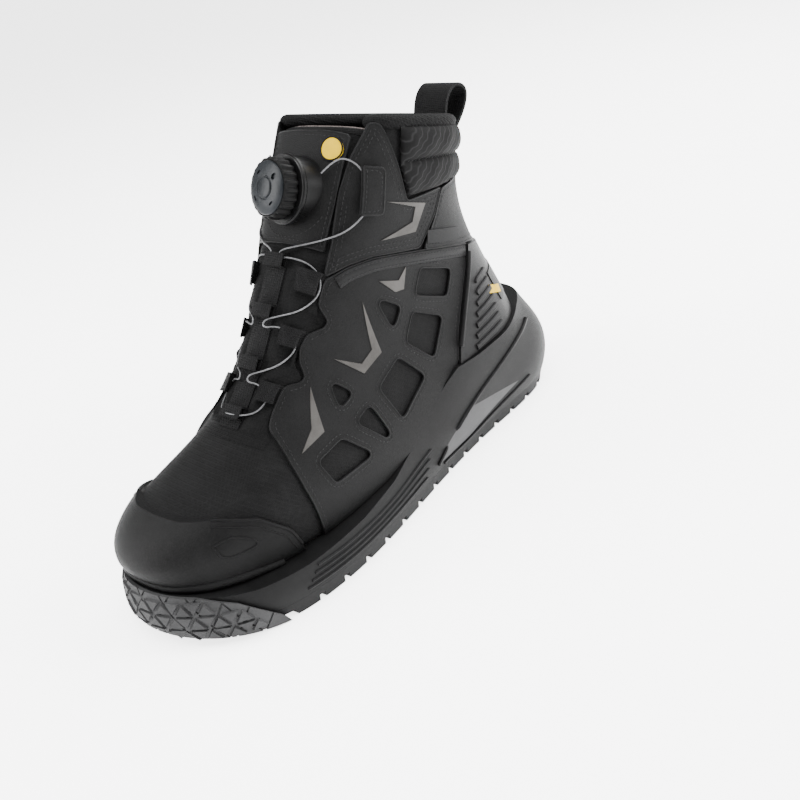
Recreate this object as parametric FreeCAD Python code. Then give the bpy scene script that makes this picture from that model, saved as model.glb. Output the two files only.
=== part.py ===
"""A left steel toe work boot with a wire lace and a dial, as separate pieces.

Frame: millimetres, +Z up, toe towards -Y, the outer (lateral) side of the foot on +X,
origin on the ground under the middle of the sole's length. The ground is z = 0.
"""
import FreeCAD, Part
import math
import os

V = FreeCAD.Vector

# ---------------------------------------------------------------- driving sizes
SOLE_LENGTH = 312.0        # toe tip to heel flange
SHAFT_HEIGHT = 210.0       # ground to the collar's highest point
SIDE_SCALE = 1.0           # width of last and sole, 1 is a normal fitting

LINING_INNER = -6.5        # layers are counted outwards from the cloth's outer face
LINING_OUTER = -4.0
FOAM_OUTER = -2.2
CLOTH_OUTER = 0.0
LAYER_GAP = 0.1            # air between two layers
LEATHER = 1.8              # quarters, ankle panels, backstay
BUMPER_WALL = 3.0
COUNTER_WALL = 3.4
COLLAR_PADDING = 4.2
PATCH_WALL = 1.0

TREAD_DEPTH = 3.5
OUTSOLE_PLATE = 4.5
TOE_SPRING = 8.0           # rise of the sole's tip above the ground
TOE_SPRING_START = -95.0   # where the rise begins
BLOCK_PITCH = 17.0         # edge blocks of the tread
BLOCK_GAP = 4.0
BLOCK_DEPTH = 13.0
WRAP_WALL = 2.2
INSERT_DEPTH = 2.5

FOOTBED_WALL = 4.5
SHANK_LENGTH = 96.0
SHANK_WIDTH = 18.0
SHANK_WALL = 1.8

WIRE_DIAMETER = 1.2
WEBBING_WALL = 0.9
STRAP_WIDTH = 14.0
LOOP_HEIGHT = 3.0          # room under a strap loop for the wire
PULL_LOOP_WIDTH = 24.0
PULL_LOOP_WALL = 1.8

DIAL_TILT = 25.0           # degrees above the horizontal
DIAL_YAW = -6.0            # degrees towards the inner side
DIAL_SEAT = 8.6            # instep to the floor of the dial's base, along its axis
DIAL_BASE_DIAMETER = 35.0
DIAL_BASE_HEIGHT = 6.5
DIAL_FLOOR = 1.0           # wall under the spool
DIAL_SKIRT = 14.0          # reach of the base down to the tongue panel
DIAL_GROOVE = 2.2
KNOB_WALL = 3.0
KNOB_TOP = 4.0
KNOB_RIBS = 30
KNOB_SINK = 2.0            # how far the stub stays under the knob's top
KNOB_DIAMETER = 31.5
KNOB_HEIGHT = 8.6
CAP_DIAMETER = 29.5
CAP_HEIGHT = 2.2
SCREW_DIAMETER = 3.2
SPOOL_DIAMETER = 19.0
SPOOL_HEIGHT = 5.0
SPOOL_FLANGE = 1.2
SPOOL_LIFT = 0.1
SCREW_HEAD = 5.2
SPRING_WALL = 0.5
STUB_DIAMETER = 7.0        # boss on the spool that carries the knob
RUNNING_CLEARANCE = 0.05

TONGUE_GAP = 0.8
TONGUE_PANEL_WALL = 1.5
TONGUE_HINGE = 13.0        # where the free part of the tongue begins, along the instep
BINDING_RISE = 0.8         # how far the collar's binding stands over the leather
WINDOW_RADIUS = 2.4
MARK_WALL = 0.35           # reflective marks
TAG_WALL = 0.5
WRAP_GROOVE = 0.9

NOMINAL_LENGTH = 312.0
NOMINAL_HEIGHT = 210.0


# ---------------------------------------------------------------- the drawing grid
def gy(y):
    """Length on the drawing to length on the boot."""
    return y * SOLE_LENGTH / NOMINAL_LENGTH


def gz(z):
    """Height on the drawing to height on the boot."""
    return z * SHAFT_HEIGHT / NOMINAL_HEIGHT


def gx(x):
    return x * SIDE_SCALE


# ---------------------------------------------------------------- surfaces
def net_solid(rows):
    """A solid round a net of control points: rows run along it, each row goes round it."""
    rounds = len(rows[0])
    surface = Part.BSplineSurface()
    knots_along = list(range(len(rows) - 2))
    mults_along = [4] + [1] * (len(knots_along) - 2) + [4]
    knots_round = list(range(rounds + 1))
    surface.buildFromPolesMultsKnots(
        rows, mults_along, [1] * (rounds + 1), knots_along, knots_round, False, True, 3, 3)
    side = surface.toShape()
    rims = [edge for edge in side.Edges if edge.isClosed()]
    caps = [Part.Face(Part.Wire(rim)) for rim in rims]
    solid = Part.Solid(Part.Shell([side] + caps))
    solid.fix(1e-4, 1e-4, 1e-4)
    if solid.Volume < 0:
        solid.reverse()
    return solid


# Sections of the upper from the collar to the toe. Each has its instep point, its heel or
# sole point, the middle, the two half widths, where it is widest, how square its front and
# its sole are, and how much of a layer's thickness goes towards the toe.
UPPER_SECTIONS = [
    # instep y, z   sole y, z   mid  out  in  widest square      nose
    (33, 210, 118, 182, 0, 42, 43, 0.50, 2.7, 2.2, 0.0),
    (22, 195, 114, 166, 0, 42, 43, 0.50, 2.7, 2.2, 0.0),
    (8, 178, 112, 146, 0, 40, 42, 0.50, 2.7, 2.1, 0.0),
    (-7, 160, 116, 120, 0, 38, 40, 0.52, 2.7, 2.1, 0.0),
    (-20, 144, 126, 90, 0, 38, 39, 0.58, 2.6, 2.2, 0.0),
    (-33, 129, 137, 58, 0, 39, 39, 0.66, 2.5, 2.4, 0.0),
    (-46, 114, 139, 32, 0, 42, 41, 0.74, 2.4, 2.7, 0.0),
    (-58, 100, 100, 22, -1, 45, 44, 0.78, 2.4, 3.0, 0.0),
    (-71, 88, 30, 19, -2, 48, 46, 0.80, 2.4, 3.2, 0.0),
    (-85, 79, -35, 18, -3, 50, 48, 0.78, 2.4, 3.2, 0.0),
    (-101, 71, -80, 18, -5, 49, 48, 0.74, 2.5, 3.2, 0.0),
    (-117, 64, -110, 20, -8, 43, 44, 0.70, 2.6, 3.0, 0.2),
    (-131, 57, -129, 23, -10, 36, 37, 0.66, 2.6, 2.8, 0.5),
    (-141, 50, -141, 28, -12, 25, 26, 0.60, 2.4, 2.5, 0.8),
    (-145, 44, -145, 34, -12, 12, 13, 0.60, 2.2, 2.2, 1.0),
    (-146, 40, -146, 38, -12, 2, 2, 0.50, 2.0, 2.0, 1.0),
]
ROUND = 24


def upper_section(section, offset):
    """The control points of one section, moved outwards by offset."""
    ty, tz, by, bz, middle, out, inn, widest, square_t, square_b, nose = section
    top = (gy(ty), gz(tz))
    sole = (gy(by), gz(bz))
    run = (sole[0] - top[0], sole[1] - top[1])
    length = math.hypot(*run)
    side_grow = offset * (1 - nose)
    unit = (run[0] / length, run[1] / length)
    start = (top[0] - unit[0] * side_grow, top[1] - unit[1] * side_grow)
    length += 2 * side_grow
    points = []
    for step in range(ROUND):
        angle = 2 * math.pi * step / ROUND
        c, s = math.cos(angle), math.sin(angle)
        width = gx(out if s >= 0 else inn) + side_grow
        if c >= 0:
            along = widest * (1 - abs(c) ** (2 / square_t))
            across = width * abs(s) ** (2 / square_t)
        else:
            along = widest + (1 - widest) * abs(c) ** (2 / square_b)
            across = width * abs(s) ** (2 / square_b)
        y = start[0] + unit[0] * length * along - offset * nose
        z = start[1] + unit[1] * length * along
        points.append(V(gx(middle) + math.copysign(across, s), y, z))
    return points


_uppers = {}


def upper(offset):
    """The solid inside the upper's surface, moved outwards by offset."""
    key = round(offset, 3)
    if key not in _uppers:
        _uppers[key] = net_solid([upper_section(s, offset) for s in UPPER_SECTIONS])
    return _uppers[key]


def layer(inner, outer):
    return upper(outer).cut(upper(inner))


# The sole's plan, one control point after another from the heel round the outer side.
SOLE_PLAN = [
    (2, 158), (20, 156), (34, 147), (41, 130), (41, 108), (40, 80), (42, 50), (47, 15),
    (53, -20), (57, -55), (56, -88), (49, -115), (34, -137), (12, -150), (-12, -153),
    (-34, -147), (-49, -125), (-53, -97), (-50, -65), (-43, -30), (-39, 5), (-38, 45),
    (-38, 85), (-38, 120), (-33, 145), (-17, 156),
]
# Height, then how far the wall stands out beside the toes, beside the heel, at the toe's tip
# and at the heel's back.
SOLE_ROWS = [
    (-25, -4, -3, -6, -6), (0, -2, -1, -3, -5), (8, 0, 1, 0, -1), (20, 0.5, 4, 0, 3.5),
    (34, -3, 6, -4, 4), (48, -6, 8, -12, -2), (62, -9, 7.5, -20, -11), (80, -12, 7, -28, -18),
]
TOE_BLEND = (-105, -140)
SIDE_BLEND = (5, 65)
HEEL_BLEND = (95, 140)


def blend(value, start, end):
    share = min(1, max(0, (value - start) / (end - start)))
    return share * share * (3 - 2 * share)


_soles = {}


def sole_block(grow):
    """The whole block of the sole, from below the ground to above the heel flange."""
    if grow in _soles:
        return _soles[grow]
    count = len(SOLE_PLAN)
    rows = []
    for height, fore, rear, toe, heel in SOLE_ROWS:
        row = []
        if height in (SOLE_ROWS[0][0], SOLE_ROWS[-1][0]):
            height += math.copysign(grow, height)
        for index, (x, y) in enumerate(SOLE_PLAN):
            x0, y0 = SOLE_PLAN[index - 1]
            x1, y1 = SOLE_PLAN[(index + 1) % count]
            run = math.hypot(x1 - x0, y1 - y0)
            normal = ((y0 - y1) / run, (x1 - x0) / run)
            to_toe, to_heel = blend(y, *TOE_BLEND), blend(y, *HEEL_BLEND)
            side = fore + (rear - fore) * blend(y, *SIDE_BLEND)
            out = side * (1 - to_toe) * (1 - to_heel) + toe * to_toe + heel * to_heel + grow
            row.append(V(gx(x) + normal[0] * out, gy(y) + normal[1] * out, gz(height)))
        rows.append(row)
    _soles[grow] = net_solid(rows)
    return _soles[grow]


# ---------------------------------------------------------------- cutters
FAR = 120.0


def prism(points, direction):
    """A solid with a flat polygon for its base."""
    face = Part.Face(Part.makePolygon(points + [points[0]]))
    return face.extrude(direction)


def side_prism(outline, side=0):
    """A prism across the boot from y, z points: side 1 outer half, -1 inner half, 0 both."""
    start = 0 if side > 0 else -FAR
    width = FAR if side else 2 * FAR
    return prism([V(start, gy(y), gz(z)) for y, z in outline], V(width, 0, 0))


INSTEP_ORIGIN = V(0, gy(-20), gz(144))
INSTEP_RISE = V(0, gy(42), gz(45)).normalize()
INSTEP_OUT = V(0, -INSTEP_RISE.z, INSTEP_RISE.y)


def instep_point(x, along, out=0.0):
    """A point over the instep: across, along the instep from the ankle bend, and out."""
    return INSTEP_ORIGIN + V(x, 0, 0) + INSTEP_RISE * along + INSTEP_OUT * out


def instep_prism(outline, low=-42.0, high=45.0):
    """A prism square to the instep from points across and along it."""
    points = [instep_point(x, a, low) for x, a in outline]
    return prism(points, INSTEP_OUT * (high - low))


def rounded_prism(outline, side, radius):
    """A prism across the boot with its corners rounded."""
    block = side_prism(outline, side)
    corners = [e for e in block.Edges if abs(e.tangentAt(e.FirstParameter).x) > 0.99]
    return block.makeFillet(radius, corners)


def mirrored(outline):
    """Both sides of an outline that is given for the outer side from bottom to top."""
    return outline + [(-x, a) for x, a in reversed(outline)]


def rectangle(x0, x1, a0, a1):
    return [(x0, a0), (x1, a0), (x1, a1), (x0, a1)]


def box(x0, x1, y0, y1, z0, z1):
    return Part.makeBox(x1 - x0, y1 - y0, z1 - z0, V(x0, y0, z0))


def main_solids(shape, least=20.0):
    """The shape's solids, without slivers that a cut leaves."""
    solids = [s for s in shape.Solids if s.Volume > least]
    return solids[0] if len(solids) == 1 else Part.makeCompound(solids)


nodes = {}


def node(name, shape, least=20.0):
    nodes[name] = main_solids(shape, least)


# ---------------------------------------------------------------- outlines shared by pieces
# The opening over the instep, outer side, from the throat to the collar.
OPENING = [
    (20, -84), (20, -72), (19.5, -60), (20, -46), (21, -30), (22, -14), (25, 0), (27, 22),
    (27, 48), (29, 66), (33, 82), (35, 120),
]
# The opening's edge in the quarters, with a lobe between every two lace guides.
SCALLOPS = [
    (30, -88), (23, -80), (20.5, -70), (20, -60), (20.5, -54), (25, -50), (25.5, -46),
    (22.5, -40), (21.5, -33), (22.5, -26), (27, -19), (27.5, -15), (24.5, -9), (25.5, 2),
    (28, 10), (34, 24), (37, 120),
]
# The top line of the midsole from the toe to the heel.
MIDSOLE_TOP = [
    (-170, 31), (-140, 28), (-118, 25), (-90, 24), (-50, 25), (-20, 28), (2, 34),
    (24, 45), (40, 53), (52, 58), (70, 57), (100, 57), (125, 60), (150, 62), (190, 62),
]
QUARTER_TOP = [(-8, 139), (4, 141), (18, 140), (36, 135), (58, 128), (92, 116)]
QUARTER_BACK = [(91, 114), (78, 99), (63, 75), (53, 54), (47, 30)]
QUARTER_TOE = [(-70, 20), (-71, 40), (-72, 55), (-71, 68), (-69, 76), (-66, 90)]
WINDOWS = [
    [(47, 122), (71, 111), (62, 97), (38, 109)],
    [(12, 121), (28, 108), (18, 97)],
    [(34, 102), (55, 89), (39, 70), (23, 88)],
    [(15, 84), (29, 65), (2, 52), (-5, 75)],
    [(-29, 93), (-19, 80), (-32, 76)],
    [(-14, 71), (-9, 50), (-13, 49), (-28, 67)],
    [(-39, 65), (-24, 47), (-55, 47), (-59, 62)],
]
CHEVRONS = [
    [(34, 165), (60, 154), (49, 142), (25, 147), (48, 148), (52, 155)],
    [(18, 127), (30, 122), (37, 127), (32, 116), (26, 117)],
    [(5, 121), (6, 91), (-9, 86), (-21, 100), (-8, 91), (1, 95)],
    [(-39, 93), (-46, 72), (-63, 69), (-51, 76)],
]
# The facet let into each side of the midsole under the heel flange.
INSERT_OUTLINE = [(22, 12), (30, 19), (56, 29), (104, 20), (54, 11)]


def ground(y):
    """Height of the tread's lowest face at y: flat, then a round rise to the toe."""
    start = gy(TOE_SPRING_START)
    tip = -SOLE_LENGTH / 2
    radius = ((start - tip) ** 2 + TOE_SPRING ** 2) / (2 * TOE_SPRING)
    return 0.0 if y >= start else radius - math.sqrt(radius ** 2 - (start - y) ** 2)


def sole_band(low, high):
    """All that lies between two heights over the tread's lowest face."""
    reach = SOLE_LENGTH / 2 + 20
    bend = gy(TOE_SPRING_START)
    edges = []
    for height in (low, high):
        tip = V(-FAR, -reach, ground(-reach) + height)
        middle_y = (bend - reach) / 2
        middle = V(-FAR, middle_y, ground(middle_y) + height)
        arc = Part.Arc(tip, middle, V(-FAR, bend, height)).toShape()
        flat = Part.makeLine(V(-FAR, bend, height), V(-FAR, reach, height))
        edges.append((tip, arc, flat, V(-FAR, reach, height)))
    (tip0, arc0, flat0, end0), (tip1, arc1, flat1, end1) = edges
    wire = Part.Wire([arc0, flat0, Part.makeLine(end0, end1), flat1, arc1,
                      Part.makeLine(tip1, tip0)])
    return Part.Face(wire).extrude(V(2 * FAR, 0, 0))


# ---------------------------------------------------------------- sole
WRAP_BACK = [(-170, -5), (-106, -5), (-112, 6), (-128, 22), (-140, 29), (-170, 33)]


def tread_lugs():
    """Blocks along both edges and angular lugs down the middle."""
    lugs = []
    pitch = gy(BLOCK_PITCH)
    for index in range(15):
        y0 = gy(-104) + index * pitch
        plan_index = blend(y0, gy(-60), gy(60))
        for side in (1, -1):
            edge = gx(56 - 15 * plan_index) if side > 0 else gx(52 - 14 * plan_index)
            inner = edge - BLOCK_DEPTH
            skew = 3.0 * side
            corners = [(inner, y0), (FAR, y0 + skew), (FAR, y0 + skew + pitch - BLOCK_GAP),
                       (inner, y0 + pitch - BLOCK_GAP)]
            lugs.append(prism([V(side * x, y, -1) for x, y in corners],
                              V(0, 0, TREAD_DEPTH + 1.2)))
    half = gx(20)
    for index in range(12):
        y0 = gy(-115) + index * gy(22)
        flip = 1 if index % 2 else -1
        big = [(-half, y0), (half * 0.55, y0 + 3), (-half * 0.2, y0 + 15)]
        small = [(half * 0.75, y0 + 5), (half, y0 + 17), (half * 0.05, y0 + 17)]
        for corners in (big, small):
            lugs.append(prism([V(flip * x, y, -1) for x, y in corners],
                              V(0, 0, TREAD_DEPTH + 1.2)))
    return Part.makeCompound(lugs)


def wrap_grooves():
    """Crossing grooves round the toe wrap, which leave small triangles between them."""
    centre = V(0, gy(-96), gz(13))
    skin = sole_block(WRAP_WALL + 2).cut(sole_block(WRAP_WALL - WRAP_GROOVE))
    slabs = []
    for index in range(-4, 5):
        for lean in (32, -32):
            slab = box(-0.5, 0.5, -80, -5, -40, 40)
            slab.rotate(V(0, 0, 0), V(0, 1, 0), lean)
            slab.rotate(V(0, 0, 0), V(0, 0, 1), 17 * index)
            slab.translate(centre)
            slabs.append(slab)
    return skin.common(slabs[0].multiFuse(slabs[1:]))


def make_sole():
    block = sole_block(0)
    wrap_zone = side_prism(WRAP_BACK)
    grown_block = sole_block(WRAP_WALL)
    plate = block.common(sole_band(TREAD_DEPTH, TREAD_DEPTH + OUTSOLE_PLATE))
    lugs = block.common(sole_band(0, TREAD_DEPTH + 0.2)).common(tread_lugs())
    toe_cut = grown_zone(wrap_zone)
    outsole = plate.cut(toe_cut).multiFuse(lugs.cut(toe_cut).Solids)
    node("outsole", outsole, 200)

    over_plate = sole_band(TREAD_DEPTH + OUTSOLE_PLATE + LAYER_GAP, gz(90))
    top = [(y, z) for y, z in MIDSOLE_TOP]
    below_top = side_prism(top + [(190, -20), (-170, -20)])
    core = block.common(over_plate).common(below_top)
    toe_wrap = grown_block.common(wrap_zone).common(sole_band(0, gz(90)))
    toe_wrap = toe_wrap.cut(sole_block(LAYER_GAP).common(over_plate))
    toe_wrap = toe_wrap.cut(wrap_grooves())
    node("toe_wrap", toe_wrap, 100)

    midsole = core.cut(upper(LAYER_GAP))
    skin = sole_block(6).cut(sole_block(-INSERT_DEPTH))
    pockets = {
        "insert_lateral": side_prism(INSERT_OUTLINE, 1),
        "insert_medial": side_prism(INSERT_OUTLINE, -1),
        "insert_heel": box(-26, 26, gy(120), gy(190), gz(20), gz(36)),
    }
    for name, pocket in pockets.items():
        piece = core.common(skin).common(pocket)
        node(name, piece.cut(upper(LAYER_GAP)), 50)
        midsole = midsole.cut(pocket.common(skin))
    node("midsole", midsole, 500)


def grown_zone(zone):
    """The toe wrap's zone with the joint's width added behind it."""
    moved = zone.copy()
    moved.translate(V(0, LAYER_GAP, 0))
    return moved.fuse(zone)


# ---------------------------------------------------------------- inside of the boot
CAP_BACK = [(-170, 0), (-92, 0), (-92, 27), (-97, 90), (-170, 90)]
STIFFENER = [(70, 30), (58, 40), (84, 84), (96, 96), (170, 96), (170, 30)]


# The line that parts the floor of each layer from its walls, toe to heel.
FLOOR_LINE = [(-170, 44), (-137, 31), (-116, 27), (-85, 24.5), (30, 24.5), (90, 26.5),
              (120, 31), (170, 36)]


def floor_zone(lift):
    """All below the floor's line, moved up by lift."""
    return side_prism([(y, z + lift) for y, z in FLOOR_LINE] + [(170, -20), (-170, -20)])


def widened(outline):
    """The outline's prism, a layer's gap larger at its front and top."""
    moved = side_prism([(y - LAYER_GAP, z + LAYER_GAP) for y, z in outline])
    return moved.fuse(side_prism(outline))


def make_inside():
    opening = instep_prism(mirrored(OPENING))
    lining = layer(LINING_INNER, LINING_OUTER).cut(opening)
    collar = collar_zone(-FAR, -3.0)
    node("lining_bootie", lining.common(collar), 500)

    mid = layer(LINING_OUTER + LAYER_GAP, FOAM_OUTER)
    cap_zone = side_prism(CAP_BACK)
    stiff_zone = side_prism(STIFFENER)
    node("insole_board", mid.common(floor_zone(0)), 200)
    walls = mid.cut(floor_zone(LAYER_GAP))
    node("steel_toe_cap", walls.common(cap_zone), 200)
    node("heel_stiffener", walls.common(stiff_zone), 200)
    foam = walls.cut(grown_zone(cap_zone)).cut(widened(STIFFENER)).cut(opening)
    node("interlining_foam", foam.common(collar), 500)

    plate = layer(FOAM_OUTER + LAYER_GAP, CLOTH_OUTER).common(floor_zone(0))
    node("puncture_plate", plate, 200)

    footbed_top = LINING_INNER - LAYER_GAP - FOOTBED_WALL
    footbed = layer(footbed_top, LINING_INNER - LAYER_GAP).common(floor_zone(11))
    node("footbed", footbed, 500)

    y0, z0 = gy(-25), gz(16.2)
    shank = box(-SHANK_WIDTH / 2, SHANK_WIDTH / 2, y0, y0 + SHANK_LENGTH,
                z0 - SHANK_WALL, z0)
    node("shank", shank)
    nodes["midsole"] = main_solids(nodes["midsole"].cut(shank), 500)


# ---------------------------------------------------------------- cloth and leather
def collar_zone(low, high):
    """The part of the boot between two distances from the collar's plane."""
    front, back = UPPER_SECTIONS[0][0:2], UPPER_SECTIONS[0][2:4]
    a = V(0, gy(front[0]), gz(front[1]))
    b = V(0, gy(back[0]), gz(back[1]))
    run = (b - a).normalize()
    up = V(0, -run.z, run.y)
    corners = [a - run * FAR + up * low, b + run * FAR + up * low,
               b + run * FAR + up * high, a - run * FAR + up * high]
    if low <= -FAR:
        corners[0] = V(0, -2 * FAR, -FAR)
        corners[1] = V(0, 2 * FAR, -FAR)
    return prism([c - V(FAR, 0, 0) for c in corners], V(2 * FAR, 0, 0))


def make_cloth():
    opening = instep_prism(mirrored(OPENING))
    cloth = layer(FOAM_OUTER + LAYER_GAP, CLOTH_OUTER).cut(floor_zone(LAYER_GAP)).cut(opening)
    cloth = cloth.common(collar_zone(-FAR, -3.0))
    seam = [(-72, -10), (-72, 60), (-72, 120), (-200, 120), (-200, -10)]
    node("vamp", cloth.common(side_prism(seam)), 200)
    behind = [(y + LAYER_GAP, z) for y, z in seam]
    node("side_cloth", cloth.cut(side_prism(behind)), 500)


def overlay(outline, side, thickness, inner=LAYER_GAP):
    return layer(inner, inner + thickness).common(side_prism(outline, side))


def midsole_room():
    """All that lies under the midsole's top line."""
    line = [(y, z + 0.3) for y, z in MIDSOLE_TOP]
    return side_prism(line + [(190, -20), (-170, -20)])


def make_leather():
    room = midsole_room()
    collar = collar_zone(-FAR, -3.0)
    cap_top = [(-131, 62), (-126, 60.5), (-116, 60), (-101, 54), (-89, 41), (-82, 20)]
    bumper_zone = [(-190, 10), (-190, 62)] + cap_top
    bumper = layer(LAYER_GAP, BUMPER_WALL).common(side_prism(bumper_zone)).cut(room)
    node("toe_bumper", bumper, 200)

    quarter = QUARTER_TOE + [(-40, 139)] + QUARTER_TOP + QUARTER_BACK
    scallops = instep_prism(mirrored(SCALLOPS))
    badges = []
    for side, word in ((1, "lateral"), (-1, "medial")):
        piece = overlay(quarter, side, LEATHER).cut(scallops).cut(room)
        for window in WINDOWS:
            piece = piece.cut(rounded_prism(window, side, WINDOW_RADIUS))
        node("quarter_" + word, piece, 200)

        ankle = [(-12, 140.3), (4, 142.3), (18, 141.3), (36, 136.3), (50, 132.3)]
        ankle += [(50, 132.3), (66, 145), (75, 157), (47, 160), (46, 176), (43, 215), (-20, 215)]
        panel = overlay(ankle, side, LEATHER).cut(instep_prism(mirrored(OPENING)))
        node("ankle_panel_" + word, panel.common(collar), 200)

        patch = [(16, 165), (26, 187), (35, 183), (27, 161)]
        shell = overlay(patch, side, LOOP_HEIGHT + PATCH_WALL,
                        LAYER_GAP + LEATHER + RUNNING_CLEARANCE)
        shell = shell.cut(instep_prism(mirrored([(29, -90), (29, 120)])))
        tunnel = layer(0, LAYER_GAP + LEATHER + LOOP_HEIGHT)
        tunnel = tunnel.common(side_prism([(10, 165), (23, 190), (30, 187), (19, 160)], side))
        node("lace_patch_" + word, shell.cut(tunnel), 20)

        for chevron in CHEVRONS:
            mark = overlay(chevron, side, MARK_WALL, LAYER_GAP + LEATHER + RUNNING_CLEARANCE)
            mark = mark.cut(grown_panel_gap())
            badges += [s for s in mark.Solids if s.Volume > 3]
    nodes["reflective_chevrons"] = Part.makeCompound(badges)

    stay = [(53.5, 130.5), (67, 144), (76, 156), (170, 149), (170, 91.5), (92, 117), (55, 129)]
    node("backstay", overlay(stay, 0, LEATHER), 200)

    counter = [(92, 115.5), (79, 99), (64, 75), (54, 54), (48, 30), (190, 30), (190, 83)]
    node("heel_counter", overlay(counter, 0, COUNTER_WALL).cut(room), 200)

    padding = [(48, 161.5), (47, 176), (44, 215), (190, 215), (190, 150.5), (76, 157.5)]
    roll = overlay(padding, 0, COLLAR_PADDING)
    node("collar_padding", roll.common(collar), 200)

    rim = layer(LINING_INNER, LAYER_GAP + LEATHER + BINDING_RISE)
    rim = rim.common(collar_zone(-2.9, 1.0))
    node("collar_binding", rim.cut(instep_prism(mirrored(OPENING))), 200)


def grown_panel_gap():
    """The line between the quarters and the ankle panels, which no mark crosses."""
    line = [(-12, 139), (4, 141), (18, 140), (36, 135), (58, 128), (92, 116),
            (92, 118), (58, 130), (36, 137), (18, 142), (4, 143), (-12, 141)]
    return side_prism(line)


def make_small_marks():
    """The badge, the side tag and the heel patches, all plain."""
    start = LAYER_GAP + LEATHER + RUNNING_CLEARANCE
    tag = [(58, 139), (86, 129), (84, 122), (56, 132)]
    node("side_tag", overlay(tag, 1, TAG_WALL, start), 5)
    patch = [(104, 92), (132, 92), (134, 72), (110, 72)]
    start = LAYER_GAP + COUNTER_WALL + RUNNING_CLEARANCE
    node("heel_patch", overlay(patch, 0, TAG_WALL, start), 5)


def rounded_band(points, wall):
    """A flat band through y, z points, with an arc at every bend, as a face."""
    half = wall / 2
    sides = []
    for sign in (1, -1):
        moved = []
        for index, (y, z) in enumerate(points):
            y0, z0 = points[max(index - 1, 0)]
            y1, z1 = points[min(index + 1, len(points) - 1)]
            run = math.hypot(y1 - y0, z1 - z0)
            moved.append(V(0, y - sign * half * (z1 - z0) / run, z + sign * half * (y1 - y0) / run))
        curve = Part.BSplineCurve()
        curve.interpolate(moved)
        sides.append((moved, curve.toShape()))
    (outer, edge0), (inner, edge1) = sides
    wire = Part.Wire([edge0, Part.makeLine(outer[-1], inner[-1]), edge1,
                      Part.makeLine(inner[0], outer[0])])
    return Part.Face(wire)


def back_point(index, offset):
    """A point behind the heel, level with one section of the upper."""
    ty, tz, by, bz = UPPER_SECTIONS[index][:4]
    run = (gy(by - ty), gz(bz - tz))
    length = math.hypot(*run)
    return gy(by) + run[0] / length * offset, gz(bz) + run[1] / length * offset


def make_pull_loop():
    """A loop of webbing that lies on the collar's padding and stands up behind it."""
    near = COLLAR_PADDING + LAYER_GAP + PULL_LOOP_WALL / 2
    far = near + 2 * PULL_LOOP_WALL
    (y0, z0), (y1, z1) = back_point(1, near), back_point(0, near)
    y2, z2 = back_point(1, far)
    path = [(y0, z0 - 4), ((y0 + y1) / 2, (z0 + z1) / 2), (y1 + 1, z1 + 2), (y1 + 6, z1 + 10),
            (y1 + 15, z1 + 13), (y1 + 21, z1 + 8), (y1 + 18, z1), (y2 + 6, z2 + 6), (y2, z2 - 4)]
    loop = rounded_band(path, PULL_LOOP_WALL).extrude(V(PULL_LOOP_WIDTH, 0, 0))
    loop.translate(V(-PULL_LOOP_WIDTH / 2, 0, 0))
    loop = loop.cut(upper(COLLAR_PADDING + LAYER_GAP + 0.1))
    node("pull_loop", loop, 50)


# ---------------------------------------------------------------- tongue
PANEL_OUTLINE = [(24, 17.5), (25.5, 40), (26, 62), (27, 77), (-27, 77), (-26, 62),
                 (-25.5, 40), (-24, 17.5)]


def tongue_zone(bottom, top):
    """The opening less the gap at its edges, between two places along the instep."""
    side = [(x - TONGUE_GAP, a) for x, a in OPENING if bottom < a < top]
    ends = [(width_at(bottom), bottom)] + side + [(width_at(top), top)]
    return instep_prism(mirrored(ends))


def width_at(along):
    """Half width of the tongue at one place along the instep."""
    for (x0, a0), (x1, a1) in zip(OPENING, OPENING[1:]):
        if a0 <= along <= a1:
            return x0 + (x1 - x0) * (along - a0) / (a1 - a0) - TONGUE_GAP
    return OPENING[0][0] - TONGUE_GAP


def make_tongue():
    collar = collar_zone(-FAR, -4.5)
    pad = layer(LINING_INNER, CLOTH_OUTER).common(tongue_zone(TONGUE_HINGE, 84))
    node("tongue_pad", pad.common(collar), 200)
    low = layer(LINING_INNER, CLOTH_OUTER).common(tongue_zone(-83.5, TONGUE_HINGE - 0.5))
    node("tongue_gusset", low, 200)
    panel = layer(LAYER_GAP, LAYER_GAP + TONGUE_PANEL_WALL).common(instep_prism(PANEL_OUTLINE))
    node("tongue_panel", panel.common(collar), 100)
    rim = layer(LINING_INNER, LAYER_GAP + BINDING_RISE).common(tongue_zone(60, 99))
    node("tongue_binding", rim.common(collar_zone(-4.4, -0.5)), 50)
    start = LAYER_GAP + TONGUE_PANEL_WALL + RUNNING_CLEARANCE
    badge = layer(start, start + TAG_WALL)
    disc = Part.makeCylinder(6.2, 60, instep_point(19, 68.5, -20), INSTEP_OUT)
    node("round_badge", badge.common(disc), 5)


STRAP_LOOPS = [(4.5, 11.5), (-22.5, -15.5), (-50.5, -43.5), (-77, -70)]
GUIDES = [(-5.5, 6.5), (-34, -24), (-64.5, -54)]
GUIDE_EDGE = (16.5, 14.2, 11.5)


def bridge(across, along, low, high, wall, open_side):
    """A loop of webbing over the wire, closed at its ends or at its inner edge."""
    x0, x1 = across
    a0, a1 = along
    body = layer(low, high).common(instep_prism(rectangle(x0, x1, a0, a1), -30))
    if open_side == "across":
        hole = rectangle(x0 - 5, x1 + 5, a0 + wall, a1 - wall)
    else:
        hole = rectangle(x0 + wall, x1 + 9, a0 - 5, a1 + 5) if x0 > 0 else \
            rectangle(x0 - 9, x1 - wall, a0 - 5, a1 + 5)
    tunnel = layer(low + wall, high - wall).common(instep_prism(hole, -30))
    return body.cut(tunnel)


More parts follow.
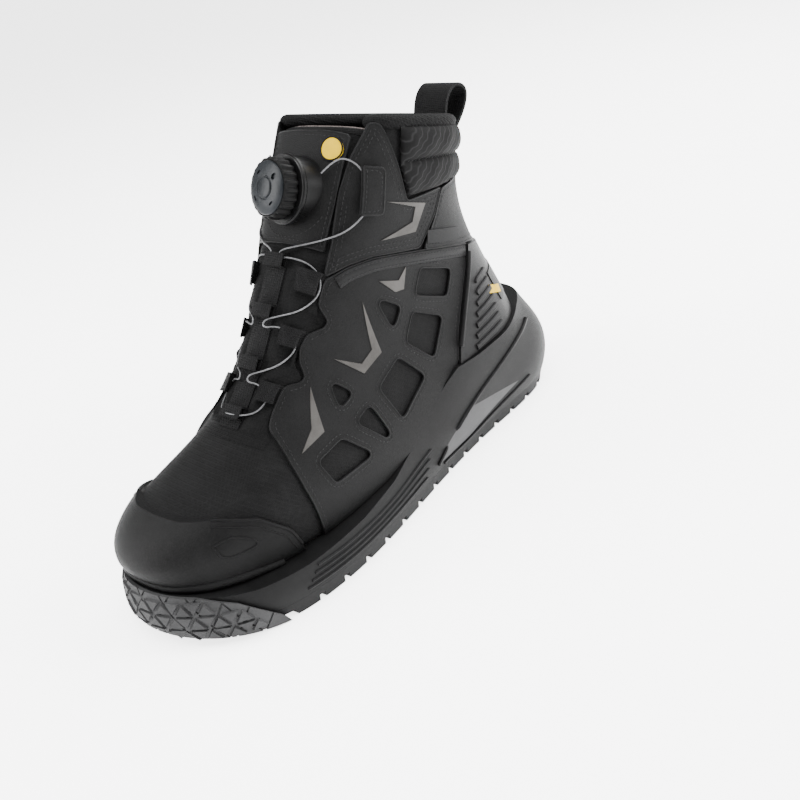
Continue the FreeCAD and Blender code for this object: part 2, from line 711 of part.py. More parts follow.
def make_laces():
    strap_half = STRAP_WIDTH / 2
    low = LAYER_GAP
    strap = layer(low, low + WEBBING_WALL)
    strap = strap.common(instep_prism(rectangle(-strap_half, strap_half, -82, 12.5), -30))
    node("centre_strap", strap, 50)
    loops = []
    for along in STRAP_LOOPS:
        body = bridge((-strap_half, strap_half), along, low + WEBBING_WALL + 0.05,
                      low + WEBBING_WALL + LOOP_HEIGHT + 0.6, 0.6, "across")
        loops += [s for s in body.Solids if s.Volume > 5]
    nodes["strap_loops"] = Part.makeCompound(loops)
    edge = instep_prism(mirrored(grown_edge()), -30)
    for side, word in ((1, "lateral"), (-1, "medial")):
        guides = []
        for along, inner in zip(GUIDES, GUIDE_EDGE):
            across = (inner, 40) if side > 0 else (-40, -inner)
            body = bridge(across, along, low, low + LOOP_HEIGHT + 1.2, WEBBING_WALL, "along")
            guides += [s for s in body.common(edge).Solids if s.Volume > 5]
        nodes["lace_guides_" + word] = Part.makeCompound(guides)


def grown_edge():
    """The opening's edge in the quarters, drawn in by a small gap."""
    return [(x - 0.4, a) for x, a in SCALLOPS]


# ---------------------------------------------------------------- dial
def dial_frame():
    tilt, yaw = math.radians(DIAL_TILT), math.radians(DIAL_YAW)
    axis = V(math.sin(yaw) * math.cos(tilt), -math.cos(yaw) * math.cos(tilt), math.sin(tilt))
    seat = instep_point(1.6, 47.5, -2.5)
    return seat, axis


def ring(radius, bore, height, start):
    """A ring on the dial's axis that starts at one distance from the seat."""
    seat, axis = dial_frame()
    base = seat + axis * start
    body = Part.makeCylinder(radius, height, base, axis)
    if bore:
        body = body.cut(Part.makeCylinder(bore, height, base, axis))
    return body


def make_dial():
    seat, axis = dial_frame()
    base_r = DIAL_BASE_DIAMETER / 2
    spool_r = SPOOL_DIAMETER / 2
    screw_r = SCREW_DIAMETER / 2
    wall_top = DIAL_SEAT + DIAL_BASE_HEIGHT
    housing = ring(base_r, 0, DIAL_BASE_HEIGHT + DIAL_SKIRT, DIAL_SEAT - DIAL_SKIRT)
    housing = housing.cut(ring(spool_r + RUNNING_CLEARANCE, 0, FAR, DIAL_SEAT + DIAL_FLOOR))
    housing = housing.cut(upper(LAYER_GAP + TONGUE_PANEL_WALL + LAYER_GAP))
    groove = ring(base_r + 1, base_r - DIAL_GROOVE, DIAL_GROOVE, wall_top - 1.2 - DIAL_GROOVE)
    housing = housing.cut(groove)

    spool_start = DIAL_SEAT + DIAL_FLOOR + SPOOL_LIFT
    stub_start = spool_start + SPOOL_HEIGHT
    stub_height = KNOB_HEIGHT - KNOB_SINK
    spool = ring(spool_r, screw_r, SPOOL_HEIGHT, spool_start)
    spool = spool.cut(ring(spool_r + 1, spool_r - 2.5, SPOOL_HEIGHT - 2 * SPOOL_FLANGE,
                           spool_start + SPOOL_FLANGE))
    stub = ring(STUB_DIAMETER / 2, screw_r, stub_height, stub_start)
    node("dial_spool", spool.fuse(stub).removeSplitter(), 50)
    screw = ring(screw_r - RUNNING_CLEARANCE, 0, SPOOL_HEIGHT + stub_height, spool_start)
    screw = screw.fuse(ring(SCREW_HEAD / 2, 0, 0.9, stub_start + stub_height))
    node("dial_screw", screw.removeSplitter(), 5)

    knob_start = wall_top + 0.3
    knob_r = KNOB_DIAMETER / 2
    knob = ring(knob_r, STUB_DIAMETER / 2 + RUNNING_CLEARANCE, KNOB_HEIGHT, knob_start)
    hollow = ring(knob_r - KNOB_WALL, STUB_DIAMETER / 2 + 2, KNOB_HEIGHT - KNOB_TOP, knob_start)
    knob = knob.cut(hollow)
    notch = Part.makeCylinder(0.8, KNOB_HEIGHT - 2.0, V(knob_r, 0, 0))
    turn = FreeCAD.Rotation(V(0, 0, 1), axis)
    notches = []
    for index in range(KNOB_RIBS):
        cut = notch.copy()
        cut.rotate(V(0, 0, 0), V(0, 0, 1), 360.0 * index / KNOB_RIBS)
        cut.Placement = FreeCAD.Placement(seat + axis * (knob_start + 1.0), turn).multiply(
            cut.Placement)
        notches.append(cut)
    node("dial_knob", knob.cut(Part.makeCompound(notches)), 100)

    cap_start = knob_start + KNOB_HEIGHT
    cap_r = CAP_DIAMETER / 2
    half = CAP_HEIGHT / 2
    cap = ring(cap_r, SCREW_HEAD / 2 + 0.4, half, cap_start)
    cap = cap.fuse(Part.makeCone(cap_r, cap_r - 1.6, half, seat + axis * (cap_start + half), axis))
    side_axis = axis.cross(V(1, 0, 0)).normalize()
    for index in range(3):
        direction = FreeCAD.Rotation(axis, 120 * index + 20).multVec(side_axis)
        centre = seat + axis * (cap_start - 1) + direction * (cap_r - 5.2)
        cap = cap.cut(Part.makeCylinder(1.7, CAP_HEIGHT + 2, centre, axis))
    node("dial_cap", cap, 50)

    spring_r = spool_r + 2.9
    spring = ring(spring_r + 0.7, spring_r - 0.7, SPRING_WALL, wall_top - SPRING_WALL - 0.1)
    spring = spring.cut(box(seat.x - 1, seat.x + 1, seat.y - 60, seat.y + 60,
                            seat.z, seat.z + 60))
    seat_groove = ring(spring_r + 0.9, spring_r - 0.9, SPRING_WALL + 0.3,
                       wall_top - SPRING_WALL - 0.3)
    node("dial_base", housing.cut(seat_groove), 100)
    node("pawl_spring", spring, 1)


# ---------------------------------------------------------------- lace wire
# The pieces that the wire is drawn through or lies in.
WIRE_PASSES = ["lace_guides_lateral", "lace_guides_medial", "lace_patch_lateral",
               "lace_patch_medial", "strap_loops", "tongue_gusset", "ankle_panel_lateral",
               "ankle_panel_medial"]
# The wire's way down the outer side, from the dial to the end of the strap.
WIRE_ROUTE = [
    (18.5, 13.5, 187.5), (24.0, 20.0, 193.0), (31.0, 24.0, 191.5), (36.5, 26.0, 184.0),
    (39.0, 25.5, 174.5), (38.0, 19.5, 165.0), (33.0, 8.0, 159.0), (24.0, -3.0, 158.0),
    (13.0, -10.5, 157.5), (3.5, -13.5, 156.0), (3.0, -16.0, 153.0), (12.0, -14.0, 152.5),
    (20.0, -11.0, 148.5), (25.0, -10.0, 141.0), (25.0, -15.0, 132.5), (20.0, -25.0, 128.5),
    (12.0, -33.0, 128.5), (4.0, -37.0, 127.5), (4.0, -39.5, 124.0), (12.0, -36.5, 124.5),
    (19.0, -32.5, 120.0), (20.5, -35.0, 111.0), (16.5, -45.0, 107.0), (9.5, -52.5, 106.0),
    (3.0, -56.0, 105.0), (3.0, -58.5, 102.0), (9.5, -56.5, 101.0), (15.5, -56.5, 95.0),
    (14.5, -65.0, 90.0), (8.0, -71.5, 90.0), (0.0, -73.5, 91.0),
]


def wire_tube(points, diameter):
    """A tube of straight runs and tangent arcs along the points."""
    edges = []
    start = points[0]
    for index in range(1, len(points) - 1):
        before, corner, after = points[index - 1], points[index], points[index + 1]
        into, away = before - corner, after - corner
        runs = min(into.Length, away.Length)
        into.normalize()
        away.normalize()
        half_angle = math.acos(max(-1, min(1, into.dot(away)))) / 2
        trim = 0.45 * runs
        radius = trim * math.tan(half_angle)
        first, last = corner + into * trim, corner + away * trim
        middle_dir = (into + away).normalize()
        middle = corner + middle_dir * (radius / math.sin(half_angle) - radius)
        edges.append(Part.makeLine(start, first))
        edges.append(Part.Arc(first, middle, last).toShape())
        start = last
    edges.append(Part.makeLine(start, points[-1]))
    path = Part.Wire(edges)
    direction = (points[1] - points[0]).normalize()
    profile = Part.Wire(Part.makeCircle(diameter / 2, points[0], direction))
    return path.makePipeShell([profile], True, True), path.Length


def make_wire():
    outer = [V(gx(x), gy(y), gz(z)) for x, y, z in WIRE_ROUTE]
    inner = [V(-p.x, p.y, p.z) for p in outer]
    route = outer + inner[::-1][1:]
    tube, length = wire_tube(route, WIRE_DIAMETER)
    section = math.pi * WIRE_DIAMETER ** 2 / 4
    print("wire length %.1f, volume over section %.1f" % (length, tube.Volume / section))
    nodes["lace_wire"] = tube
    room = wire_tube(route, WIRE_DIAMETER + 2 * LAYER_GAP)[0]
    for name in WIRE_PASSES:
        nodes[name] = main_solids(nodes[name].cut(room), 5)


# ---------------------------------------------------------------- build
def main():
    os.makedirs("parts", exist_ok=True)
    make_sole()
    make_inside()
    make_cloth()
    make_leather()
    make_small_marks()
    make_pull_loop()
    make_tongue()
    make_laces()
    make_dial()
    make_wire()
    for name, shape in nodes.items():
        valid = all(s.isValid() for s in shape.Solids)
        size = shape.BoundBox
        if not shape.Solids:
            raise ValueError(name + " is empty")
        print("%-22s solids %d valid %s volume %8.0f  x %.0f..%.0f y %.0f..%.0f z %.1f..%.1f" % (
            name, len(shape.Solids), valid, shape.Volume, size.XMin, size.XMax, size.YMin,
            size.YMax, size.ZMin, size.ZMax))
        shape.exportStep("parts/%s.step" % name)


main()
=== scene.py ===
# %% [markdown]
# A left safety boot, finished for the camera.
# The engineering model gives every piece its size and place. This file gives them
# their looks: the grain of the leather, the weave of the cloth, the stitches and folded
# edges, the padded rolls and the pebbled rubber. Lengths in this file are millimetres
# wherever a name or a comment says mm, and metres where Blender needs them.

# %% The frame
import math
import bpy
import bmesh
from mathutils import Matrix, Vector
from mathutils.bvhtree import BVHTree


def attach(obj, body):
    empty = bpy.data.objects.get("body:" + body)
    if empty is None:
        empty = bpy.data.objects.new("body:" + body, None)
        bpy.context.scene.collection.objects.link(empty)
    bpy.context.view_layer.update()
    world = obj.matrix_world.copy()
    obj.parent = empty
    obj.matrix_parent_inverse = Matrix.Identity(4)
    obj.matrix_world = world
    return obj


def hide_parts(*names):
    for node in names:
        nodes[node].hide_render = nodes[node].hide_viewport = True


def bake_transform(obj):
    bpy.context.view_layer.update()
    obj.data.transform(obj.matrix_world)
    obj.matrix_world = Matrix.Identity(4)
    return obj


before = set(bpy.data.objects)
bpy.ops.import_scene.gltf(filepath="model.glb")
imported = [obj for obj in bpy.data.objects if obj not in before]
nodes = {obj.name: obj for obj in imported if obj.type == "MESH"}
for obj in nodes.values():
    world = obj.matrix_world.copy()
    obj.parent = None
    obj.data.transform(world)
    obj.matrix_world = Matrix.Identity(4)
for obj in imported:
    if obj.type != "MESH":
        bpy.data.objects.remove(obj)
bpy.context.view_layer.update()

MM = 0.001

# %% [markdown]
# The camera comes first, because every later choice is judged through it.
# It stands to the front and the outer side, a little above the boot, and it is rolled
# about its own axis, so that the boot seems to stand on its toe.

# %% Camera
CAMERA_TURN = 47.47
CAMERA_RISE = 28.37
CAMERA_ROLL = -14.18
CAMERA_DISTANCE = 600 * MM
CAMERA_OFFSET = (41.26 * MM, -28.3 * MM)
CAMERA_AIM = Vector((0, 0, 90 * MM))
CAMERA_LENS = 48.8


def make_camera():
    """The camera at the end of a boom that is turned, raised and rolled."""
    turn, rise, roll = (math.radians(a) for a in (CAMERA_TURN, CAMERA_RISE, CAMERA_ROLL))
    right = Vector((math.cos(turn), math.sin(turn), 0))
    back = Vector((math.sin(turn) * math.cos(rise), -math.cos(turn) * math.cos(rise),
                   math.sin(rise)))
    up = back.cross(right)
    rolled_right = right * math.cos(roll) + up * math.sin(roll)
    rolled_up = up * math.cos(roll) - right * math.sin(roll)
    camera = bpy.data.objects.new("camera", bpy.data.cameras.new("camera"))
    bpy.context.scene.collection.objects.link(camera)
    axes = Matrix((rolled_right, rolled_up, back)).transposed().to_4x4()
    place = (CAMERA_AIM + rolled_right * CAMERA_OFFSET[0] + rolled_up * CAMERA_OFFSET[1]
             + back * CAMERA_DISTANCE)
    camera.matrix_world = Matrix.Translation(place) @ axes
    camera.data.lens = CAMERA_LENS
    camera.data.sensor_width = 36
    camera.data.clip_start = 0.01
    bpy.context.scene.camera = camera


make_camera()

# %% [markdown]
# A product is lit with large soft lights, so that dark leather shows its shape by broad
# pale reflections. One big light hangs over the boot, one stands on each side.

# %% Studio
WORLD_STRENGTH = 0.7
FLOOR_GREY = 0.97
FLOOR_GLOW = 3.0


def area_light(name, place, aim, size, power, tint=(1, 1, 1)):
    light = bpy.data.lights.new(name, "AREA")
    light.energy = power
    light.shape = "RECTANGLE"
    light.size, light.size_y = size
    light.color = tint
    lamp = bpy.data.objects.new(name, light)
    bpy.context.scene.collection.objects.link(lamp)
    lamp.location = place
    lamp.rotation_mode = "QUATERNION"
    lamp.rotation_quaternion = (Vector(aim) - Vector(place)).to_track_quat("-Z", "Y")
    return lamp


def make_studio():
    aim = (0, 0, 0.09)
    area_light("light_top", (0.1, -0.15, 1.1), aim, (0.9, 0.9), 26)
    area_light("light_left", (-0.85, -0.75, 0.65), aim, (0.5, 0.9), 26)
    area_light("light_right", (0.9, 0.55, 0.6), aim, (0.4, 0.9), 22)
    area_light("light_back", (0.1, 1.0, 0.8), aim, (0.9, 0.5), 20)
    area_light("light_front", (0.5, -1.0, 0.35), aim, (0.5, 0.5), 3)
    world = bpy.data.worlds.new("studio_air")
    world.use_nodes = True
    background = world.node_tree.nodes["Background"]
    background.inputs["Color"].default_value = (1, 1, 1, 1)
    background.inputs["Strength"].default_value = WORLD_STRENGTH
    bpy.context.scene.world = world
    bpy.ops.object.select_all(action="DESELECT")
    bpy.ops.mesh.primitive_plane_add(size=8, location=(0, 0, 0))
    floor = bpy.context.active_object
    floor.name = "floor"
    paper = bpy.data.materials.new("floor_paper")
    paper.use_nodes = True
    shader = paper.node_tree.nodes["Principled BSDF"]
    shader.inputs["Base Color"].default_value = (FLOOR_GREY, FLOOR_GREY, FLOOR_GREY, 1)
    shader.inputs["Roughness"].default_value = 0.75
    shader.inputs["Emission Color"].default_value = (1, 1, 1, 1)
    shader.inputs["Emission Strength"].default_value = FLOOR_GLOW
    floor.data.materials.append(paper)


make_studio()

# %% [markdown]
# Every finish here is dark, so the eye tells leather from cloth and rubber by grain, by
# sheen and by how rough each one is. A texture picture would need unwrapped surfaces. A
# pattern worked out from the place in space needs none, and it has the same scale on
# every piece, so that is the way taken. Each effect is a node group, built once. It
# gives a height for the bump and a tone that lightens or darkens the colour.

# %% Helpers for node trees
def new_group(name, inputs):
    """An empty shader node group with float inputs, and Height and Tone for outputs."""
    tree = bpy.data.node_groups.new(name, "ShaderNodeTree")
    for label, value in inputs.items():
        socket = tree.interface.new_socket(label, in_out="INPUT", socket_type="NodeSocketFloat")
        socket.default_value = value
    for label in ("Height", "Tone"):
        tree.interface.new_socket(label, in_out="OUTPUT", socket_type="NodeSocketFloat")
    return tree, tree.nodes.new("NodeGroupInput"), tree.nodes.new("NodeGroupOutput")


def feed(tree, socket, value):
    """Puts a number in a socket, or links another node's output to it."""
    if isinstance(value, (int, float, tuple)):
        socket.default_value = value
    else:
        tree.links.new(value, socket)


def sum_up(tree, operation, *values):
    node = tree.nodes.new("ShaderNodeMath")
    node.operation = operation
    for socket, value in zip(node.inputs, values):
        feed(tree, socket, value)
    return node.outputs[0]


def object_point(tree):
    return tree.nodes.new("ShaderNodeTexCoord").outputs["Object"]


def noise(tree, scale, detail=2.0, rough=0.5):
    node = tree.nodes.new("ShaderNodeTexNoise")
    feed(tree, node.inputs["Vector"], object_point(tree))
    feed(tree, node.inputs["Scale"], scale)
    node.inputs["Detail"].default_value = detail
    node.inputs["Roughness"].default_value = rough
    return node.outputs["Fac"]


def spread(tree, value, low, high):
    """Stretches the middle of a noise to run from 0 to 1."""
    node = tree.nodes.new("ShaderNodeMapRange")
    node.interpolation_type = "SMOOTHSTEP"
    feed(tree, node.inputs["Value"], value)
    node.inputs["From Min"].default_value = low
    node.inputs["From Max"].default_value = high
    return node.outputs["Result"]


# %% [markdown]
# Coated leather has flat cells parted by fine creases, with a broad uneven bloom over
# them. A Voronoi texture gives the creases and a noise gives the bloom. Moulded rubber
# is the same with small round grains, so one group serves both.

# %% Grain of leather and rubber
def build_grain():
    tree, given, result = new_group("hide_grain", {"Cells": 900.0, "Bloom": 35.0, "Crease": 0.35})
    cells = tree.nodes.new("ShaderNodeTexVoronoi")
    cells.feature = "DISTANCE_TO_EDGE"
    feed(tree, cells.inputs["Vector"], object_point(tree))
    feed(tree, cells.inputs["Scale"], given.outputs["Cells"])
    creases = tree.nodes.new("ShaderNodeMapRange")
    feed(tree, creases.inputs["Value"], cells.outputs["Distance"])
    feed(tree, creases.inputs["From Max"], given.outputs["Crease"])
    fine = noise(tree, sum_up(tree, "MULTIPLY", given.outputs["Cells"], 2.3), 2.0)
    height = sum_up(tree, "MULTIPLY_ADD", fine, 0.5, creases.outputs["Result"])
    bloom = spread(tree, noise(tree, given.outputs["Bloom"], 5.0, 0.6), 0.3, 0.72)
    tone = sum_up(tree, "MULTIPLY_ADD", creases.outputs["Result"], 0.35,
                  sum_up(tree, "MULTIPLY", bloom, 0.65))
    tree.links.new(height, result.inputs["Height"])
    tree.links.new(tone, result.inputs["Tone"])
    return tree


# %% [markdown]
# A woven cloth is two sets of threads that cross. Waves along three directions in space
# cross on whatever way a surface faces, and the stronger one shows, as the thread that
# lies on top does. A coarser set of lines on top makes the ripstop's raised ribs.

# %% Weave of cloth and webbing
def wave_along(tree, direction, pitch):
    """A wave from 0 to 1 along a direction, with one crest every pitch."""
    dot = tree.nodes.new("ShaderNodeVectorMath")
    dot.operation = "DOT_PRODUCT"
    feed(tree, dot.inputs[0], object_point(tree))
    dot.inputs[1].default_value = direction
    turns = sum_up(tree, "DIVIDE", dot.outputs["Value"], pitch)
    wave = sum_up(tree, "SINE", sum_up(tree, "MULTIPLY", turns, 2 * math.pi))
    return sum_up(tree, "MULTIPLY_ADD", wave, 0.5, 0.5)


def build_weave():
    tree, given, result = new_group("woven_threads", {"Pitch": 0.0008, "Rib": 0.003, "Rib Share": 0.6})
    across = wave_along(tree, (0.78, 0.60, 0.16), given.outputs["Pitch"])
    along = wave_along(tree, (-0.16, 0.62, 0.77), given.outputs["Pitch"])
    threads = sum_up(tree, "MAXIMUM", across, along)
    rib = sum_up(tree, "POWER", wave_along(tree, (0.05, 0.68, 0.73), given.outputs["Rib"]), 6.0)
    rib_across = sum_up(tree, "POWER", wave_along(tree, (0.75, -0.45, 0.42), given.outputs["Rib"]), 9.0)
    ribs = sum_up(tree, "MAXIMUM", rib, sum_up(tree, "MULTIPLY", rib_across, 0.7))
    height = sum_up(tree, "MULTIPLY_ADD", ribs, given.outputs["Rib Share"], threads)
    bloom = spread(tree, noise(tree, 60.0, 4.0, 0.6), 0.3, 0.7)
    tone = sum_up(tree, "MULTIPLY", height, sum_up(tree, "MULTIPLY_ADD", bloom, 0.5, 0.3))
    tree.links.new(height, result.inputs["Height"])
    tree.links.new(tone, result.inputs["Tone"])
    return tree


# %% [markdown]
# The padded collar's cloth has thin wavy lines that climb at a slant: one wave bent by a
# slower one.

# %% Wavy lines of the collar cloth
def build_wavy():
    tree, given, result = new_group("wavy_lines", {"Pitch": 0.0022, "Swing": 0.5, "Sharp": 4.0})
    swing = sum_up(tree, "MULTIPLY", wave_along(tree, (0.1, 0.75, 0.65), 0.006),
                   given.outputs["Swing"])
    point = object_point(tree)
    dot = tree.nodes.new("ShaderNodeVectorMath")
    dot.operation = "DOT_PRODUCT"
    feed(tree, dot.inputs[0], point)
    dot.inputs[1].default_value = (0.55, -0.45, 0.70)
    turns = sum_up(tree, "ADD", sum_up(tree, "DIVIDE", dot.outputs["Value"], given.outputs["Pitch"]),
                   swing)
    line = sum_up(tree, "MULTIPLY_ADD", sum_up(tree, "SINE", sum_up(tree, "MULTIPLY", turns, 2 * math.pi)),
                  0.5, 0.5)
    line = sum_up(tree, "POWER", line, given.outputs["Sharp"])
    fuzz = noise(tree, 1800.0, 2.0)
    height = sum_up(tree, "MULTIPLY_ADD", fuzz, 0.5, line)
    tree.links.new(height, result.inputs["Height"])
    tree.links.new(sum_up(tree, "MULTIPLY_ADD", fuzz, 0.2, sum_up(tree, "MULTIPLY", line, 0.8)),
                   result.inputs["Tone"])
    return tree


EFFECTS = {"grain": build_grain(), "weave": build_weave(), "wavy": build_wavy()}

# %% [markdown]
# One function makes every finish from a dark and a light colour, the effect's own
# values, how deep its bump is and how rough it looks. The constants go straight into the
# shader's sockets, and only what changes over the surface is linked.

# %% The finishes
SPECULAR = 0.07


def make_finish(name, dark, light, rough, effect, values, depth, **shader_values):
    """A material: the effect's tone runs the colour and the roughness, its height the bump."""
    finish = bpy.data.materials.new(name)
    finish.use_nodes = True
    tree = finish.node_tree
    shader = tree.nodes["Principled BSDF"]
    pattern = tree.nodes.new("ShaderNodeGroup")
    pattern.node_tree = EFFECTS[effect]
    for label, value in values.items():
        pattern.inputs[label].default_value = value
    colour = tree.nodes.new("ShaderNodeMix")
    colour.data_type = "RGBA"
    colour.clamp_factor = True
    feed(tree, colour.inputs["Factor"], pattern.outputs["Tone"])
    colour.inputs["A"].default_value = (*dark, 1)
    colour.inputs["B"].default_value = (*light, 1)
    tree.links.new(colour.outputs["Result"], shader.inputs["Base Color"])
    gloss = tree.nodes.new("ShaderNodeMapRange")
    feed(tree, gloss.inputs["Value"], pattern.outputs["Tone"])
    gloss.inputs["To Min"].default_value, gloss.inputs["To Max"].default_value = rough
    tree.links.new(gloss.outputs["Result"], shader.inputs["Roughness"])
    bump = tree.nodes.new("ShaderNodeBump")
    bump.inputs["Distance"].default_value = depth * MM
    feed(tree, bump.inputs["Height"], pattern.outputs["Height"])
    tree.links.new(bump.outputs["Normal"], shader.inputs["Normal"])
    shader.inputs["Specular IOR Level"].default_value = SPECULAR
    for label, value in shader_values.items():
        shader.inputs[label.replace("_", " ")].default_value = value
    return finish


def grey(value):
    return (value, value, value * 1.02)


LEATHER = make_finish("black_nubuck", grey(0.0016), grey(0.0060), (0.46, 0.64), "grain",
                      {"Cells": 1100.0, "Bloom": 28.0}, 0.10)
LEATHER_EDGE = make_finish("folded_leather", grey(0.0028), grey(0.0090), (0.38, 0.52), "grain",
                           {"Cells": 1400.0, "Bloom": 40.0}, 0.06)
RIPSTOP = make_finish("ripstop_cloth", grey(0.0007), grey(0.0060), (0.62, 0.78), "weave",
                      {"Pitch": 0.0007, "Rib": 0.0024}, 0.16)
TONGUE_CLOTH = make_finish("tongue_cloth", grey(0.0005), grey(0.0040), (0.60, 0.75), "weave",
                           {"Pitch": 0.0006, "Rib": 0.0017, "Rib Share": 0.9}, 0.18)
COLLAR_CLOTH = make_finish("collar_cloth", grey(0.0016), grey(0.0110), (0.68, 0.80), "wavy",
                           {"Pitch": 0.0031, "Swing": 0.22, "Sharp": 7.0}, 0.12)
KNIT = make_finish("knit_binding", grey(0.0008), grey(0.0060), (0.75, 0.9), "weave",
                   {"Pitch": 0.0013, "Rib": 0.0026, "Rib Share": 0.8}, 0.25)
LINING = make_finish("mesh_lining", (0.045, 0.038, 0.036), (0.13, 0.11, 0.105), (0.85, 0.95), "weave",
                     {"Pitch": 0.0016, "Rib": 0.0045}, 0.25)
WEBBING = make_finish("woven_webbing", grey(0.0006), grey(0.0055), (0.60, 0.72), "weave",
                      {"Pitch": 0.0011, "Rib": 0.0013, "Rib Share": 1.1}, 0.2)
THREAD = make_finish("black_thread", grey(0.005), grey(0.018), (0.45, 0.6), "weave",
                     {"Pitch": 0.0005, "Rib": 0.002}, 0.05)
BUMPER_SKIN = make_finish("pebbled_bumper", grey(0.0020), grey(0.0060), (0.46, 0.60), "grain",
                          {"Cells": 1900.0, "Bloom": 30.0, "Crease": 0.6}, 0.12)
COUNTER_SKIN = make_finish("moulded_counter", grey(0.0030), grey(0.0085), (0.36, 0.50), "grain",
                           {"Cells": 2200.0, "Bloom": 24.0, "Crease": 0.6}, 0.05)
SOLE_FOAM = make_finish("sole_foam", grey(0.0022), grey(0.0065), (0.40, 0.55), "grain",
                        {"Cells": 2600.0, "Bloom": 26.0, "Crease": 0.6}, 0.05)
SOLE_RUBBER = make_finish("sole_rubber", grey(0.004), grey(0.010), (0.52, 0.68), "grain",
                          {"Cells": 1500.0, "Bloom": 40.0}, 0.06)
TOE_RUBBER = make_finish("grey_toe_rubber", grey(0.018), grey(0.036), (0.50, 0.66), "grain",
                         {"Cells": 1500.0, "Bloom": 45.0}, 0.06)
FACET_FOAM = make_finish("grey_facet", grey(0.035), grey(0.060), (0.46, 0.6), "grain",
                         {"Cells": 1800.0, "Bloom": 40.0}, 0.05)
HARD_PLASTIC = make_finish("satin_plastic", grey(0.0022), grey(0.0050), (0.26, 0.38), "grain",
                           {"Cells": 3000.0, "Bloom": 60.0, "Crease": 0.8}, 0.02)
DIAL_FACE = make_finish("dial_face_plastic", (0.006, 0.007, 0.008), (0.014, 0.0155, 0.018),
                        (0.24, 0.36), "grain", {"Cells": 3200.0, "Bloom": 70.0, "Crease": 0.8}, 0.015)
GRIP_RUBBER = make_finish("grip_rubber", grey(0.0012), grey(0.0040), (0.48, 0.62), "grain",
                          {"Cells": 2400.0, "Bloom": 60.0}, 0.04)
STEEL = make_finish("drawn_steel", (0.06, 0.06, 0.062), (0.15, 0.15, 0.155), (0.40, 0.52), "weave",
                    {"Pitch": 0.0006, "Rib": 0.002}, 0.02, Metallic=0.85)
REFLECTIVE = make_finish("reflective_film", (0.030, 0.0285, 0.027), (0.060, 0.057, 0.054), (0.34, 0.46),
                         "grain", {"Cells": 3000.0, "Bloom": 50.0, "Crease": 0.7}, 0.03, Metallic=0.35)
YELLOW = make_finish("yellow_print", (0.36, 0.23, 0.0), (0.50, 0.33, 0.0), (0.40, 0.5), "grain",
                     {"Cells": 2600.0, "Bloom": 60.0}, 0.02)
TAG_CLOTH = make_finish("pale_tag", grey(0.003), grey(0.010), (0.5, 0.62), "weave",
                       {"Pitch": 0.0006, "Rib": 0.002}, 0.04)
INNER_BOARD = make_finish("inner_board", (0.20, 0.17, 0.12), (0.34, 0.29, 0.22), (0.7, 0.85), "weave",
                          {"Pitch": 0.001, "Rib": 0.004}, 0.05)
FOOTBED_CLOTH = make_finish("footbed_cloth", grey(0.02), grey(0.07), (0.8, 0.92), "weave",
                            {"Pitch": 0.0012, "Rib": 0.003}, 0.15)

# %% The model's own pieces get their finishes
FINISH_OF = {
    "outsole": SOLE_RUBBER, "toe_wrap": TOE_RUBBER, "midsole": SOLE_FOAM,
    "insert_lateral": FACET_FOAM, "insert_medial": FACET_FOAM, "insert_heel": FACET_FOAM,
    "lining_bootie": LINING, "insole_board": INNER_BOARD, "steel_toe_cap": STEEL,
    "heel_stiffener": INNER_BOARD, "interlining_foam": LINING, "puncture_plate": INNER_BOARD,
    "footbed": FOOTBED_CLOTH, "shank": STEEL, "vamp": RIPSTOP, "side_cloth": RIPSTOP,
    "toe_bumper": BUMPER_SKIN, "quarter_lateral": LEATHER, "quarter_medial": LEATHER,
    "ankle_panel_lateral": LEATHER, "ankle_panel_medial": LEATHER, "lace_patch_lateral": LEATHER,
    "lace_patch_medial": LEATHER, "reflective_chevrons": REFLECTIVE, "backstay": LEATHER,
    "heel_counter": COUNTER_SKIN, "collar_padding": COLLAR_CLOTH, "collar_binding": KNIT,
    "side_tag": TAG_CLOTH, "heel_patch": LEATHER_EDGE, "pull_loop": WEBBING, "tongue_pad": TONGUE_CLOTH,
    "tongue_gusset": TONGUE_CLOTH, "tongue_panel": LEATHER, "tongue_binding": KNIT,
    "round_badge": YELLOW, "centre_strap": WEBBING, "strap_loops": WEBBING,
    "lace_guides_lateral": WEBBING, "lace_guides_medial": WEBBING, "dial_base": HARD_PLASTIC,
    "dial_spool": HARD_PLASTIC, "dial_screw": STEEL, "dial_knob": GRIP_RUBBER,
    "dial_cap": DIAL_FACE, "pawl_spring": STEEL, "lace_wire": STEEL,
}


def paint_nodes():
    for name, finish in FINISH_OF.items():
        slots = nodes[name].material_slots
        for place in slots:
            place.material = finish
        if not slots:
            nodes[name].data.materials.append(finish)


paint_nodes()

# %% [markdown]
# Leather panels end in a folded edge with a row of stitches beside it. The panels are
# already in the model, so their sharp outer edges are read from them, as one would
# select sharp edges by hand. A thin bead follows each edge, and a second line a few
# millimetres inside carries the stitches.

# %% Lines read from the model's edges
def surface_of(*names):
    """A search tree over the faces of some of the model's pieces."""
    points, faces = [], []
    for name in names:
        mesh = nodes[name].data
        first = len(points)
        points += [v.co.copy() for v in mesh.vertices]
        faces += [[first + i for i in p.vertices] for p in mesh.polygons]
    return BVHTree.FromPolygons(points, faces)


cloth_surface = surface_of("side_cloth", "vamp", "tongue_pad", "tongue_gusset")


def outward(point):
    """The direction that leads away from the cloth under a point on a panel."""
    under = cloth_surface.find_nearest(point)[0]
    return (point - under).normalized()


def chain_edges(links):
    """Joins pairs of neighbouring points into runs. Each run says whether it closes."""
    runs = []
    while links:
        ends = [i for i in links if len(links[i]) == 1]
        here = ends[0] if ends else next(iter(links))
        run = [here]
        while links.get(here):
            there = links[here].pop()
            links[there].remove(here)
            if not links[here]:
                del links[here]
            run.append(there)
            here = there
        links.pop(here, None)
        runs.append(run)
    return runs


